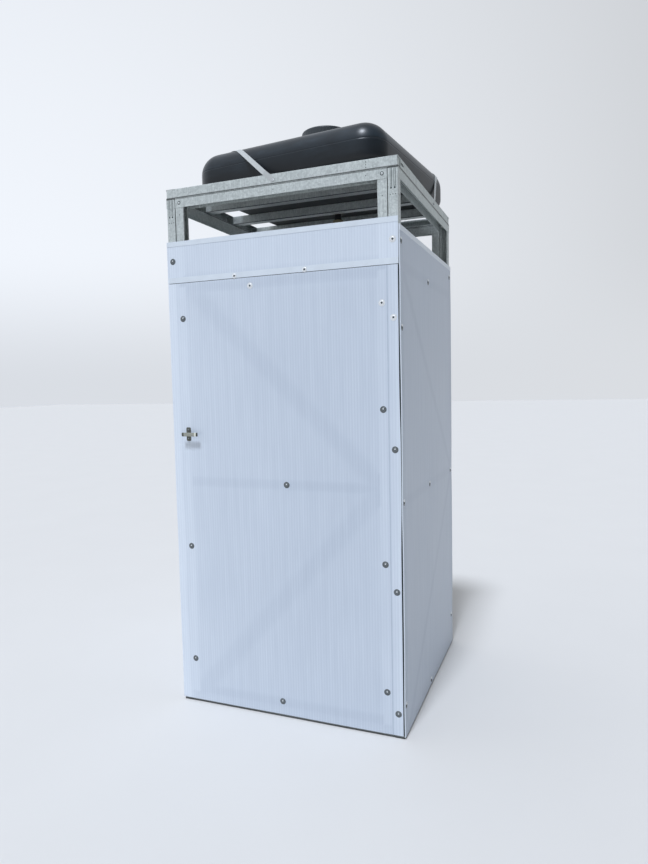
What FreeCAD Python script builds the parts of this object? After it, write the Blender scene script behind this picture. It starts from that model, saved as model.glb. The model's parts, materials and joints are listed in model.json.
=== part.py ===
import FreeCAD, Part
import math
import os
import re
from collections import namedtuple

import Sketcher
from FreeCAD import Placement, Rotation, Vector

# Outdoor shower cabin: a frame of rolled steel channels carries plastic wall sheets, a door that
# hangs on the fold of its own sheet, and a flat water tank with a valve and a shower rose.
# The front faces -Y, +Z is up, and the origin is the middle of the base. Sizes are millimetres.

SIZES = [
    ("cabin_width", 1000, "frame width across the corner posts"),
    ("cabin_depth", 1000, "frame depth across the corner posts"),
    ("wall_height", 2168, "top of the wall tracks"),
    ("gauge", 1, "steel thickness of every channel"),
    ("bend_radius", 1, "inside radius of a bend"),
    ("track_web", 40, "outside width of a track"),
    ("flange", 38, "flange of tracks and studs"),
    ("lip", 8, "lip of a stud"),
    ("girt_face", 36, "face of girts and diagonals"),
    ("brace_depth", 34, "depth of a diagonal, clear of the bends beside it"),
    ("end_gap", 1.5, "end of a stud to the web of its track"),
    ("corner_gap", 2, "front and rear frames to the corner posts"),
    ("girt_height", 930, "middle of the lower wall girts"),
    ("upper_girt_height", 1815, "middle of the upper wall girts"),
    ("joist_spacing", 250, "between the webs of the roof joists"),
    ("notch_edge", 5, "strip of web left above and below a roof rail's end notch"),
    ("cope_gap", 0.4, "coped roof members to the rail's flange"),
    ("anchor_radius", 4.5, "floor anchor holes"),
    ("anchor_spacing", 600, "between the anchor holes of one side"),
    ("door_head", 1815, "underside of the header's bottom rail"),
    ("door_head_gap", 3, "door frame to the header"),
    ("door_frame_bottom", 45, "underside of the door frame"),
    ("door_lock_gap", 4, "lock stile to the left post"),
    ("door_hinge_gap", 2, "hinge stile to the fold"),
    ("door_rail_height", 980, "middle of the door's mid rail"),
    ("fold_inset", 46, "fold of the door sheet, from the frame's right side"),
    ("fold_gap", 0.3, "each sheet edge to the fold line"),
    ("sheet_thickness", 4, "hollow-wall plastic sheet"),
    ("side_sheet_bottom", 8, "lower edge of side and rear sheets"),
    ("side_sheet_top", 1961, "upper edge of side and rear sheets"),
    ("side_sheet_lap", 3, "right sheet's front edge before the frame"),
    ("strip_inset", 3, "hinge strip's outer edge inside the header sheet's edge"),
    ("header_sheet_top", 1990, "upper edge of the header sheet"),
    ("sheet_split", 1819, "joint between header and door sheets"),
    ("split_gap", 3, "gap at that joint"),
    ("door_sheet_bottom", 12, "lower edge of the door sheet"),
    ("corner_reveal", 1.5, "front sheets to the right side's line"),
    ("trim_gauge", 1, "thickness of the sheet-edge trims"),
    ("top_trim", 20, "leg of the trims along upper edges"),
    ("lower_trim", 23, "leg of the trim along the header's lower edge"),
    ("tank_width", 870, "tank, left to right"),
    ("tank_depth", 850, "tank, front to back"),
    ("tank_height", 180, "tank floor to the flat of its top"),
    ("tank_corner", 100, "plan radius of the tank's corners"),
    ("tank_shoulder", 92, "radius of the tank's upper edge"),
    ("tank_foot", 40, "radius of the tank's lower edge"),
    ("tank_wall", 5, "wall of the tank"),
    ("tank_turn", -6, "turn of the tank on the roof, degrees"),
    ("tank_shift", 31, "tank's middle to the right of the cabin's"),
    ("dome_radius", 323, "foot of the tank's domed top"),
    ("dome_crown", 122, "upper radius of the domed top"),
    ("dome_rise", 45, "rise of the domed top"),
    ("neck_radius", 102, "outside of the filler neck"),
    ("lid_bottom", 65, "lid's lower edge above the tank's flat top"),
    ("lid_height", 72, "height of the lid"),
    ("lid_wall", 6, "top and skirt of the lid"),
    ("lid_clearance", 0.5, "neck to lid, all round"),
    ("seal_gauge", 2, "flat seals"),
    ("seat_gap", 0.3, "lid seal to the neck's rim"),
    ("outlet_back", 144, "tank outlet behind the cabin's middle"),
    ("outlet_bore", 11, "bore radius of the outlet"),
    ("outlet_radius", 16.5, "outside radius of the outlet's thread"),
    ("outlet_flange", 28, "radius of the outlet's flange"),
    ("outlet_gauge", 5, "flange of the outlet"),
    ("outlet_clearance", 0.5, "outlet to its hole in the tank"),
    ("outlet_drop", 62, "outlet tube below the tank"),
    ("nut_height", 12, "outlet nut"),
    ("valve_radius", 25, "outside radius of the valve body"),
    ("valve_height", 80, "height of the valve body"),
    ("socket_depth", 20, "outlet tube inside the valve"),
    ("ball_radius", 15, "valve ball"),
    ("ball_flat", 12.5, "flat of the valve ball, from its middle"),
    ("ball_clearance", 0.4, "valve ball to its seat"),
    ("stem_radius", 5, "valve stem"),
    ("lever_length", 55, "valve lever, from the stem"),
    ("lever_width", 12, "valve lever"),
    ("lever_hub", 9, "radius of the lever's hub"),
    ("lever_gauge", 4, "valve lever"),
    ("rose_radius", 55, "shower rose"),
    ("rose_height", 61, "shower rose with its neck"),
    ("rose_rim", 10, "straight rim of the shower rose"),
    ("rose_wall", 5, "wall of the shower rose"),
    ("spray_radius", 1.2, "spray holes"),
    ("strap_front", -2, "front strap's foot, right of the middle"),
    ("strap_front_turn", -200, "front strap on the front shoulder, likewise"),
    ("strap_left_turn", -198, "front strap on the left shoulder, behind the middle"),
    ("strap_left", 23, "front strap's other foot, behind the middle"),
    ("strap_right", 121, "rear strap's foot, behind the middle"),
    ("strap_right_turn", 285, "rear strap on the right shoulder, likewise"),
    ("strap_rear_turn", 363, "rear strap on the rear shoulder, right of the middle"),
    ("strap_rear", 170, "rear strap's other foot, right of the middle"),
    ("strap_bite", 20, "straps inside the tank's outline where they cross its shoulders"),
    ("strap_screw_rise", 16, "strap screws above the wall tracks"),
    ("strap_width", 20, "band straps"),
    ("strap_gauge", 1, "band straps"),
    ("strap_clearance", 1, "strap to the tank"),
    ("latch_inset", 70, "latch spindle, from the frame's left side"),
    ("latch_height", 1182, "latch spindle above the base"),
    ("latch_plate_width", 22, "plate under the latch handle"),
    ("latch_plate_height", 58, "plate under the latch handle"),
    ("latch_plate_gauge", 2, "plate under the latch handle"),
    ("latch_screw_spacing", 36, "between the plate's screws"),
    ("bar_length", 76, "latch handle"),
    ("bar_width", 16, "latch handle"),
    ("bar_gauge", 8, "latch handle"),
    ("bar_offset", 18, "middle of the handle to the right of its spindle"),
    ("bar_standoff", 16, "handle in front of its plate"),
    ("hub_radius", 8, "hub of the latch handle"),
    ("spindle_radius", 5, "latch spindle"),
    ("spindle_clearance", 0.3, "spindle to the holes it turns in"),
    ("tongue_length", 60, "latch tongue, from the spindle"),
    ("tongue_width", 16, "latch tongue"),
    ("tongue_gauge", 4, "latch tongue"),
    ("tongue_gap", 2, "tongue behind the door frame"),
    ("locknut_radius", 8.5, "nut on the latch spindle"),
    ("locknut_height", 6, "nut on the latch spindle"),
    ("snug", 0.1, "clearance round fixed pins"),
    ("screw_head", 8.6, "radius of a sheet screw's wafer head"),
    ("screw_head_height", 2.6, "sheet screw head"),
    ("screw_shank", 2.1, "radius of a sheet screw's shank"),
    ("screw_length", 14, "sheet screw below its head"),
    ("small_head", 4.2, "radius of a small screw's head"),
    ("small_head_height", 2, "small screw head"),
    ("small_shank", 1.9, "radius of a small screw's shank"),
    ("rivet_head", 4.7, "radius of a rivet's head"),
    ("rivet_head_height", 1.4, "rivet head"),
    ("rivet_shank", 2.3, "radius of a rivet's shank"),
    ("rivet_tail", 3.3, "radius of a rivet's upset tail"),
    ("rivet_tail_height", 3, "upset tail of a rivet"),
    ("hole_clearance", 0.2, "radial clearance of fastener holes"),
    ("edge_column", 17, "side screw columns, from the frame's front"),
    ("rear_column", 30, "side screw columns, from the frame's rear"),
    ("post_column", 23, "front screw columns, from the frame's sides"),
    ("sill_screw", 28, "lowest screws of the side and rear sheets"),
    ("header_screw_rise", 5, "header's post screws above the middle of its sheet"),
    ("header_rail_screw", 13, "header's lower screws above its bottom rail's underside"),
    ("door_top_screw", 28, "door's upper screw below its frame's top"),
    ("door_bottom_screw", 23, "door's lower screw above its frame's underside"),
    ("track_rivet_inset", 12, "rivets of the side tracks, from the frame's front and rear"),
]

# Screw heights on the hand-drilled sheets, as shares of each sheet's height.
HINGE_COLUMN = (0.048, 0.316, 0.620, 0.893)
DOOR_RIGHT_COLUMN = (0.093, 0.374, 0.704, 0.924)
DOOR_LEFT_COLUMN = (0.101, 0.379, 0.918)
SIDE_FRONT_COLUMN = (0.063, 0.471, 0.809, 0.972)
SIDE_REAR_COLUMN = (0.077, 0.470, 0.972)
# Screws across the sheets, as shares of the frame's width from its left side.
HEADER_LOWER_SCREWS = (0.315, 0.624)
DOOR_TOP_SCREW = 0.384
DOOR_RAIL_SCREW = 0.524
DOOR_BOTTOM_SCREW = 0.481
# Middle screw column of a side sheet, as a share of the frame's depth from its front.
SIDE_MIDDLE_COLUMN = 0.475
# Rings of spray holes in the rose: share of its radius, and number of holes.
SPRAY_RINGS = ((0.22, 6), (0.47, 12), (0.72, 18))
STRAP_SAMPLES = 32
TINY = 1e-4

RIGHT = Vector(1, 0, 0)
BACK = Vector(0, 1, 0)
UP = Vector(0, 0, 1)
LEFT = Vector(-1, 0, 0)
FRONT = Vector(0, -1, 0)
DOWN = Vector(0, 0, -1)

# Where a fastener sits: the point under its head, and the way its head faces.
Spot = namedtuple("Spot", "at out")
# A rolled section: its corners, and which of them are outer and inner bends.
Section = namedtuple("Section", "corners outer inner")

doc = FreeCAD.newDocument("ShowerCabin")
sheet = doc.addObject("Spreadsheet::Sheet", "Sizes")
for row, (alias, value, note) in enumerate(SIZES, start=1):
    sheet.set(f"A{row}", note)
    sheet.set(f"B{row}", str(value))
    sheet.setAlias(f"B{row}", alias)
doc.recompute()
ALIASES = {alias for alias, value, note in SIZES}
NODES = []

# Lines that several pieces share, written in the sheet's names.
HALF_W = "cabin_width / 2"
HALF_D = "cabin_depth / 2"
INNER_W = "(cabin_width / 2 - track_web - corner_gap)"
STUD_WEB = "(track_web - 2 * gauge)"
STUD_FOOT = "(gauge + end_gap)"
ROOF_TOP = "(wall_height + track_web)"
DOOR_TOP = "(door_head - door_head_gap)"
LOCK_EDGE = "(track_web + door_lock_gap - cabin_width / 2)"
FOLD = "(cabin_width / 2 - fold_inset)"
HINGE_EDGE = "(cabin_width / 2 - fold_inset - door_hinge_gap)"
SHEET_FRONT = "(-cabin_depth / 2 - sheet_thickness)"
DOOR_SHEET_TOP = "(sheet_split - split_gap / 2)"
NECK_TOP = "(tank_height + lid_bottom + lid_height - lid_wall - seal_gauge - seat_gap)"
LATCH_X = "(latch_inset - cabin_width / 2)"
BRACE_MARGIN = "(track_web - brace_depth) / 2"


def bound(text):
    """The text with every size's name tied to its cell."""
    return re.sub(r"[a-z_]+", lambda m: f"Sizes.{m[0]}" if m[0] in ALIASES else m[0], text)


def number(text):
    """The value of an expression of sizes."""
    return float(sheet.evalExpression(bound(str(text))))


def point(x, y, z):
    return Vector(number(x), number(y), number(z))


def node(obj, label):
    """Keep an object as a sub-part under its own name."""
    obj.Label = label
    NODES.append(obj)
    return obj


def place(obj, at, axes=(RIGHT, BACK, UP), turned=False):
    """Set an object's local axes and tie its origin to sizes; turned is half a turn about the middle."""
    sign = "-" if turned else ""
    half_turn = Rotation(UP, 180 if turned else 0)
    obj.Placement = Placement(Vector(), half_turn * Rotation(*axes, "XYZ"))
    x, y, z = at
    for letter, text in (("x", f"{sign}({x})"), ("y", f"{sign}({y})"), ("z", z)):
        obj.setExpression(f"Placement.Base.{letter}", bound(text))


def outline(body, corners, role):
    """A closed sketch on one of the body's planes, each corner tied to sizes."""
    sketch = body.newObject("Sketcher::SketchObject", body.Name + "_sketch")
    plane = next(f for f in body.Origin.OriginFeatures if f.Role == role)
    sketch.AttachmentSupport = [(plane, "")]
    sketch.MapMode = "FlatFace"
    spots = [Vector(number(u), number(v), 0) for u, v in corners]
    lines = [Part.LineSegment(a, b) for a, b in zip(spots, spots[1:] + spots[:1])]
    sketch.addGeometry(lines, False)
    for line in range(len(corners)):
        sketch.addConstraint(Sketcher.Constraint("Coincident", line, 2, (line + 1) % len(corners), 1))
    for line, (u, v) in enumerate(corners):
        for kind, axis, text in (("DistanceX", -2, u), ("DistanceY", -1, v)):
            if text == "0":
                sketch.addConstraint(Sketcher.Constraint("PointOnObject", line, 1, axis))
                continue
            index = sketch.addConstraint(Sketcher.Constraint(kind, -1, 1, line, 1, number(text)))
            sketch.setExpression(f"Constraints[{index}]", bound(text))
    return sketch


def padded(label, corners, length):
    """A body with an outline carried along its own Z."""
    body = doc.addObject("PartDesign::Body", label)
    pad = body.newObject("PartDesign::Pad", label + "_pad")
    pad.Profile = outline(body, corners, "XY_Plane")
    pad.setExpression("Length", bound(length))
    doc.recompute()
    return body


def turned_piece(label, corners, at):
    """A body turned about its own Z from corners (radius, height)."""
    body = doc.addObject("PartDesign::Body", label)
    sketch = outline(body, corners, "XZ_Plane")
    spin = body.newObject("PartDesign::Revolution", label + "_turn")
    spin.Profile = sketch
    spin.ReferenceAxis = (sketch, ["V_Axis"])
    spin.Angle = 360
    place(body, at)
    return body


def rounded(body, chosen, radius):
    """Round the edges of the body's last feature that a test picks out."""
    doc.recompute()
    base = body.Tip
    names = [f"Edge{i}" for i, edge in enumerate(base.Shape.Edges, start=1) if chosen(edge)]
    fillet = body.newObject("PartDesign::Fillet", body.Name + "_round")
    fillet.Base = (base, names)
    fillet.setExpression("Radius", bound(radius))


def along_at(corners):
    """Test for edges along the body's Z that stand at one of the corners."""
    spots = [(number(u), number(v)) for u, v in corners]

    def chosen(edge):
        ends = [vertex.Point for vertex in edge.Vertexes]
        if len(ends) < 2 or abs(ends[0].z - ends[1].z) < TINY:
            return False
        return any(all(abs(p.x - u) < TINY and abs(p.y - v) < TINY for p in ends) for u, v in spots)

    return chosen


def level_at(height):
    """Test for edges that lie level at a height of the body."""
    return lambda edge: all(abs(vertex.Point.z - number(height)) < TINY for vertex in edge.Vertexes)


def lipped_channel(web, depth="flange"):
    """A stud: web, two flanges and two lips, as corners (along the flange, along the web)."""
    inside = f"{depth} - gauge"
    far = f"{web} - gauge"
    corners = [("0", "0"), (depth, "0"), (depth, "lip"), (inside, "lip"), (inside, "gauge")]
    corners += [("gauge", "gauge"), ("gauge", far), (inside, far), (inside, f"{web} - lip")]
    corners += [(depth, f"{web} - lip"), (depth, web), ("0", web)]
    return Section(corners, (0, 1, 10, 11), (4, 5, 6, 7))


def plain_channel(web):
    """A track: web and two flanges, with no lips."""
    far = f"{web} - gauge"
    corners = [("0", "0"), ("flange", "0"), ("flange", "gauge"), ("gauge", "gauge")]
    corners += [("gauge", far), ("flange", far), ("flange", web), ("0", web)]
    return Section(corners, (0, 7), (3, 4))


def rolled(label, section, length):
    """A length of rolled channel with its bends rounded."""
    body = padded(label, section.corners, length)
    rounded(body, along_at([section.corners[i] for i in section.outer]), "bend_radius + gauge")
    rounded(body, along_at([section.corners[i] for i in section.inner]), "bend_radius")
    return body


def channel(label, section, length, at, axes, turned=False):
    """A rolled channel in its place; its axes are flange, web and length."""
    body = rolled(label, section, length)
    place(body, at, axes, turned)
    return body


def block(label, low, high):
    """A box between two corners."""
    box = doc.addObject("Part::Box", label)
    for side, start, end in zip(("Length", "Width", "Height"), low, high):
        box.setExpression(side, bound(f"({end}) - ({start})"))
    place(box, low)
    return box


def rod(label, radius, length, at, direction):
    """A round bar from a point in a direction."""
    bar = doc.addObject("Part::Cylinder", label)
    bar.setExpression("Radius", bound(radius))
    bar.setExpression("Height", bound(length))
    side = BACK if abs(direction.z) > abs(direction.y) else UP
    place(bar, at, (side.cross(direction), side, direction))
    return bar


def cut(label, base, tool):
    result = doc.addObject("Part::Cut", label)
    result.Base = base
    result.Tool = tool
    return result


def fused(label, pieces):
    result = doc.addObject("Part::MultiFuse", label)
    result.Shapes = pieces
    return result


def group(label, pieces):
    """Several separate pieces kept under one name."""
    result = doc.addObject("Part::Compound", label)
    result.Links = pieces
    return node(result, label)


def drilled(label, base, spots, radius, depth):
    """Cut a round hole at each spot, from its head's seat inwards."""
    bores = [Part.makeCylinder(radius, depth, spot.at, -spot.out) for spot in spots]
    tool = doc.addObject("Part::Feature", label + "_holes")
    tool.Shape = Part.makeCompound(bores)
    return cut(label + "_drilled", base, tool)


def headed_pin(head, head_height, steps):
    """A domed head on stepped round shanks, each (radius, length), about Z with its seat at 0."""
    seat = Vector(head, 0, 0)
    crown = Vector(0, 0, head_height)
    shoulder = Vector(head * math.cos(math.pi / 4), 0, head_height * math.sin(math.pi / 4))
    edges = [Part.Arc(crown, shoulder, seat).toShape()]
    here = seat
    level = 0
    for radius, length in steps:
        for there in (Vector(radius, 0, level), Vector(radius, 0, level - length)):
            edges.append(Part.LineSegment(here, there).toShape())
            here = there
        level -= length
    foot = Vector(0, 0, level)
    edges.append(Part.LineSegment(here, foot).toShape())
    edges.append(Part.LineSegment(foot, crown).toShape())
    return Part.Face(Part.Wire(edges)).revolve(Vector(), UP, 360)


def fasteners(label, kinds):
    """One node of loose fasteners: pairs of a solid and the spots it is set at."""
    copies = []
    for solid, spots in kinds:
        for spot in spots:
            copy = solid.copy()
            copy.Placement = Placement(spot.at, Rotation(UP, spot.out))
            copies.append(copy)
    pieces = doc.addObject("Part::Feature", label)
    pieces.Shape = Part.makeCompound(copies)
    return node(pieces, label)


def half_turned(spots):
    """The same spots on the opposite wall."""
    turn = Rotation(UP, 180)
    return [Spot(turn.multVec(spot.at), turn.multVec(spot.out)) for spot in spots]


STUD = lipped_channel(STUD_WEB)
TRACK = plain_channel("track_web")
GIRT = lipped_channel("girt_face")
ROOF_STUD = lipped_channel("(track_web - gauge)")
BRACE = lipped_channel("girt_face", "brace_depth")

# Fastener spots

DOOR_SHEET_SPAN = f"({DOOR_SHEET_TOP} - door_sheet_bottom)"
SIDE_SHEET_SPAN = "(side_sheet_top - side_sheet_bottom)"


def front_spot(x, z, seat=SHEET_FRONT):
    return Spot(point(x, seat, z), FRONT)


def door_heights(shares):
    return [f"door_sheet_bottom + {share} * {DOOR_SHEET_SPAN}" for share in shares]


def side_heights(shares):
    return [f"side_sheet_bottom + {share} * {SIDE_SHEET_SPAN}" for share in shares]


def across(share):
    return f"{share} * cabin_width - {HALF_W}"


header_post_height = "(header_sheet_top + sheet_split) / 2 + header_screw_rise"
header_rail_height = "door_head + header_rail_screw"
trim_seat = f"({SHEET_FRONT} - trim_gauge)"
header_screws = [front_spot(f"{s} * ({HALF_W} - post_column)", header_post_height) for s in (-1, 1)]
header_screws += [front_spot(across(s), header_rail_height, trim_seat) for s in HEADER_LOWER_SCREWS]
hinge_screws = [front_spot(f"{HALF_W} - post_column", z) for z in door_heights(HINGE_COLUMN)]
door_screws = [front_spot(f"{LOCK_EDGE} + flange / 2", z) for z in door_heights(DOOR_LEFT_COLUMN)]
door_screws += [front_spot(f"{HINGE_EDGE} - flange / 2", z) for z in door_heights(DOOR_RIGHT_COLUMN)]
door_screws.append(front_spot(across(DOOR_TOP_SCREW), f"{DOOR_TOP} - door_top_screw"))
door_screws.append(front_spot(across(DOOR_RAIL_SCREW), "door_rail_height"))
door_screws.append(front_spot(across(DOOR_BOTTOM_SCREW), "door_frame_bottom + door_bottom_screw"))
PLATE_FRONT = f"({SHEET_FRONT} - latch_plate_gauge)"
latch_screws = [
    front_spot(LATCH_X, f"latch_height + {s} * latch_screw_spacing / 2", PLATE_FRONT) for s in (-1, 1)
]


def side_spot(y, z):
    return Spot(point(f"{HALF_W} + sheet_thickness", y, z), RIGHT)


def rear_spot(x, z):
    return Spot(point(x, f"{HALF_D} + sheet_thickness", z), BACK)


girt_lines = ("sill_screw", "girt_height", "upper_girt_height")
right_screws = [side_spot(f"edge_column - {HALF_D}", z) for z in side_heights(SIDE_FRONT_COLUMN)]
right_screws += [side_spot(f"{HALF_D} - rear_column", z) for z in side_heights(SIDE_REAR_COLUMN)]
right_screws += [side_spot(f"{SIDE_MIDDLE_COLUMN} * cabin_depth - {HALF_D}", z) for z in girt_lines]
left_screws = half_turned(right_screws)
rear_screws = [
    rear_spot(f"{s} * ({HALF_W} - post_column)", z)
    for s in (-1, 1)
    for z in side_heights(SIDE_REAR_COLUMN)
]
rear_screws += [rear_spot("0", z) for z in girt_lines]

track_rivet_height = "wall_height - flange / 2"
jamb_line = f"({INNER_W} - flange / 2)"
jambs = [f"{s} * {jamb_line}" for s in (-1, 1)]
header_rivets = [Spot(point(x, f"-{HALF_D}", track_rivet_height), FRONT) for x in jambs]
rear_rivets = [Spot(point(x, HALF_D, track_rivet_height), BACK) for x in jambs]
track_ends = [f"{s} * ({HALF_D} - track_rivet_inset)" for s in (-1, 1)]
right_rivets = [Spot(point(HALF_W, y, track_rivet_height), RIGHT) for y in track_ends]
left_rivets = half_turned(right_rivets)
roof_lines = [f"flange / 2 - {HALF_D}", f"{HALF_D} - flange / 2"]
roof_lines += [f"{n} * joist_spacing + flange / 2" for n in (-1, 0, 1)]
roof_seat = "wall_height - gauge"
right_roof_rivets = [Spot(point(f"{HALF_W} - track_web / 2", y, roof_seat), DOWN) for y in roof_lines]
left_roof_rivets = [Spot(Vector(-spot.at.x, spot.at.y, spot.at.z), DOWN) for spot in right_roof_rivets]
roof_rivets = right_roof_rivets + left_roof_rivets
door_rivets = [
    Spot(point(x, f"track_web - {HALF_D}", z), BACK)
    for x in (f"{LOCK_EDGE} + flange / 2", f"{HINGE_EDGE} - flange / 2")
    for z in (f"{DOOR_TOP} - flange / 2", "door_frame_bottom + flange / 2")
]

SCREW_HOLE = number("screw_shank + hole_clearance")
SMALL_HOLE = number("small_shank + hole_clearance")
RIVET_HOLE = number("rivet_shank + hole_clearance")
SCREW_DEPTH = number("screw_length")
RIVET_GRIP = number("2 * gauge")
ROOF_GRIP = number("3 * gauge")


def screwed(label, base, spots):
    return drilled(label, base, spots, SCREW_HOLE, SCREW_DEPTH)


def riveted(label, base, spots, grip=RIVET_GRIP):
    return drilled(label, base, spots, RIVET_HOLE, grip)


# Diagonals


def diagonal(label, low, high, start, end, out):
    """A diagonal between two corners of a bay, its web facing out, mitred to the bay's sides."""
    bay = block(label + "_bay", low, high)
    first = point(*start)
    last = point(*end)
    run = (last - first).normalize()
    width = run.cross(-out)
    overrun = number("2 * flange")
    body = rolled(label + "_blank", BRACE, str((last - first).Length + 2 * overrun))
    corner = first - run * overrun - width * number("girt_face / 2")
    body.Placement = Placement(corner, Rotation(-out, width, run, "XYZ"))
    mitred = doc.addObject("Part::Common", label)
    mitred.Base = body
    mitred.Tool = bay
    return mitred


def wall_bays():
    """Lower and upper heights of the braced bays of a wall."""
    lower = ("gauge", "girt_height - girt_face / 2")
    upper = ("girt_height + girt_face / 2", "upper_girt_height - girt_face / 2")
    return lower, upper


# Side walls


def side_wall(side, turned, screws, rivets, floor_rivets):
    """Tracks, posts, girts and diagonals of one side; the left side is the right one turned round."""
    sign = -1 if turned else 1
    inner = f"{HALF_W} - track_web"
    post_length = f"wall_height - 2 * {STUD_FOOT}"

    foot_at = (inner, f"-{HALF_D}", "0")
    foot = channel(f"{side}_foot", TRACK, "cabin_depth", foot_at, (UP, RIGHT, BACK), turned)
    anchors = [
        Spot(point(f"{sign} * ({HALF_W} - track_web / 2)", f"{s} * anchor_spacing / 2", "0"), DOWN)
        for s in (-1, 1)
    ]
    foot = drilled(f"{side}_anchor", foot, anchors, number("anchor_radius"), number("2 * gauge"))
    node(screwed(f"{side}_foot", foot, screws), f"{side}_bottom_track")

    top_at = (HALF_W, f"-{HALF_D}", "wall_height")
    top = channel(f"{side}_top", TRACK, "cabin_depth", top_at, (DOWN, LEFT, BACK), turned)
    top = riveted(f"{side}_top", top, rivets)
    node(riveted(f"{side}_top_roof", top, floor_rivets, ROOF_GRIP), f"{side}_top_track")

    posts = {
        "fore": ((f"{HALF_W} - gauge", f"-{HALF_D}", STUD_FOOT), (BACK, LEFT, UP)),
        "aft": ((f"{inner} + gauge", HALF_D, STUD_FOOT), (FRONT, RIGHT, UP)),
    }
    for end, (at, axes) in posts.items():
        in_front = (end == "aft") == turned
        label = f"{side}_front_post" if in_front else f"{side}_rear_post"
        post = channel(label + "_blank", STUD, post_length, at, axes, turned)
        face_screws = header_screws + hinge_screws if in_front else rear_screws
        post = screwed(label, post, screws + face_screws)
        node(riveted(label, post, rivets), label)

    girts = []
    for name, height in (("lower", "girt_height"), ("upper", "upper_girt_height")):
        at = (f"{HALF_W} - gauge", f"flange - {HALF_D}", f"{height} - girt_face / 2")
        label = f"{side}_{name}_girt"
        girt = channel(label, GIRT, "cabin_depth - 2 * flange", at, (LEFT, UP, BACK), turned)
        girts.append(screwed(label, girt, screws))
    group(f"{side}_girts", girts)

    face = f"{sign} * ({HALF_W} - {BRACE_MARGIN})"
    deep = sorted((f"{sign} * ({inner} + {BRACE_MARGIN})", face), key=number)
    fore = f"{sign} * (flange - {HALF_D})"
    aft = f"{sign} * ({HALF_D} - flange)"
    ends = sorted((fore, aft), key=number)
    braces = []
    for name, (low, high) in zip(("lower", "upper"), wall_bays()):
        start, end = (low, high) if name == "lower" else (high, low)
        rise = ((face, fore, start), (face, aft, end))
        corners = ((deep[0], ends[0], low), (deep[1], ends[1], high))
        braces.append(diagonal(f"{side}_{name}_brace", *corners, *rise, RIGHT * sign))
    group(f"{side}_braces", braces)


side_wall("right", False, right_screws, right_rivets, right_roof_rivets)
side_wall("left", True, left_screws, left_rivets, left_roof_rivets)

# Rear wall

rear_face = f"{HALF_D} - track_web"
between = f"2 * {INNER_W}"
rear_sill = channel("rear_sill", TRACK, between, (f"-{INNER_W}", HALF_D, "0"), (UP, FRONT, RIGHT))
node(screwed("rear_sill", rear_sill, rear_screws), "rear_bottom_track")
rear_top = channel(
    "rear_top", TRACK, between, (f"-{INNER_W}", rear_face, "wall_height"), (DOWN, BACK, RIGHT)
)
node(riveted("rear_top", rear_top, rear_rivets), "rear_top_track")


def stud_pair(label, front_line, back_line, bottom, length):
    """Two studs at the ends of a front or rear frame, webs outward."""
    right = channel(label + "_right", STUD, length, (INNER_W, back_line, bottom), (LEFT, FRONT, UP))
    left = channel(label + "_left", STUD, length, (f"-{INNER_W}", front_line, bottom), (RIGHT, BACK, UP))
    return right, left


rear_pair = stud_pair(
    "rear_stud", f"{rear_face} + gauge", f"{HALF_D} - gauge", STUD_FOOT, f"wall_height - 2 * {STUD_FOOT}"
)
group("rear_studs", [riveted(stud.Name, stud, rear_rivets) for stud in rear_pair])

rear_girts = []
for name, height in (("lower", "girt_height"), ("upper", "upper_girt_height")):
    at = (f"flange - {INNER_W}", f"{HALF_D} - gauge", f"{height} + girt_face / 2")
    girt = channel(f"rear_{name}_girt", GIRT, f"2 * ({INNER_W} - flange)", at, (FRONT, DOWN, RIGHT))
    rear_girts.append(screwed(f"rear_{name}_girt", girt, rear_screws))
group("rear_girts", rear_girts)

bay_side = f"({INNER_W} - flange)"
rear_braces = []
for name, (low, high) in zip(("lower", "upper"), wall_bays()):
    face = f"{HALF_D} - {BRACE_MARGIN}"
    corners = ((f"-{bay_side}", f"{rear_face} + {BRACE_MARGIN}", low), (bay_side, face, high))
    start, end = (low, high) if name == "lower" else (high, low)
    rise = ((f"-{bay_side}", face, start), (bay_side, face, end))
    rear_braces.append(diagonal(f"rear_{name}_brace", *corners, *rise, BACK))
group("rear_braces", rear_braces)

# Front threshold and header frame

front_inside = f"track_web - {HALF_D}"
sill = channel("sill", TRACK, between, (f"-{INNER_W}", front_inside, "0"), (UP, FRONT, RIGHT))
node(sill, "front_threshold")
header_top = channel(
    "header_top", TRACK, between, (f"-{INNER_W}", f"-{HALF_D}", "wall_height"), (DOWN, BACK, RIGHT)
)
node(riveted("header_top", header_top, header_rivets), "header_top_track")
header_rail = channel(
    "header_rail", TRACK, between, (f"-{INNER_W}", front_inside, "door_head"), (UP, FRONT, RIGHT)
)
node(screwed("header_rail", header_rail, header_screws), "header_bottom_rail")
header_pair = stud_pair(
    "header_stud",
    f"gauge - {HALF_D}",
    f"{front_inside} - gauge",
    f"door_head + {STUD_FOOT}",
    f"wall_height - door_head - 2 * {STUD_FOOT}",
)
group("header_studs", [riveted(stud.Name, stud, header_rivets) for stud in header_pair])

# Roof ring and joists


def coped(label, body):
    """Cut the ends of a roof member back under the side rails' upper flange."""
    low = f"{ROOF_TOP} - gauge - cope_gap"
    high = f"{ROOF_TOP} + gauge"
    reach = f"({HALF_W} - flange - cope_gap)"
    front = f"-{HALF_D} - gauge"
    rear = f"{HALF_D} + gauge"
    left = block(label + "_left", (f"-{HALF_W}", front, low), (f"-{reach}", rear, high))
    right = block(label + "_right", (reach, front, low), (HALF_W, rear, high))
    return cut(label + "_coped", body, fused(label + "_copes", [left, right]))


def roof_member(label, at, axes):
    body = channel(label + "_blank", ROOF_STUD, f"cabin_width - 2 * {STUD_FOOT}", at, axes)
    return riveted(label, coped(label, body), roof_rivets, ROOF_GRIP)


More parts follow.
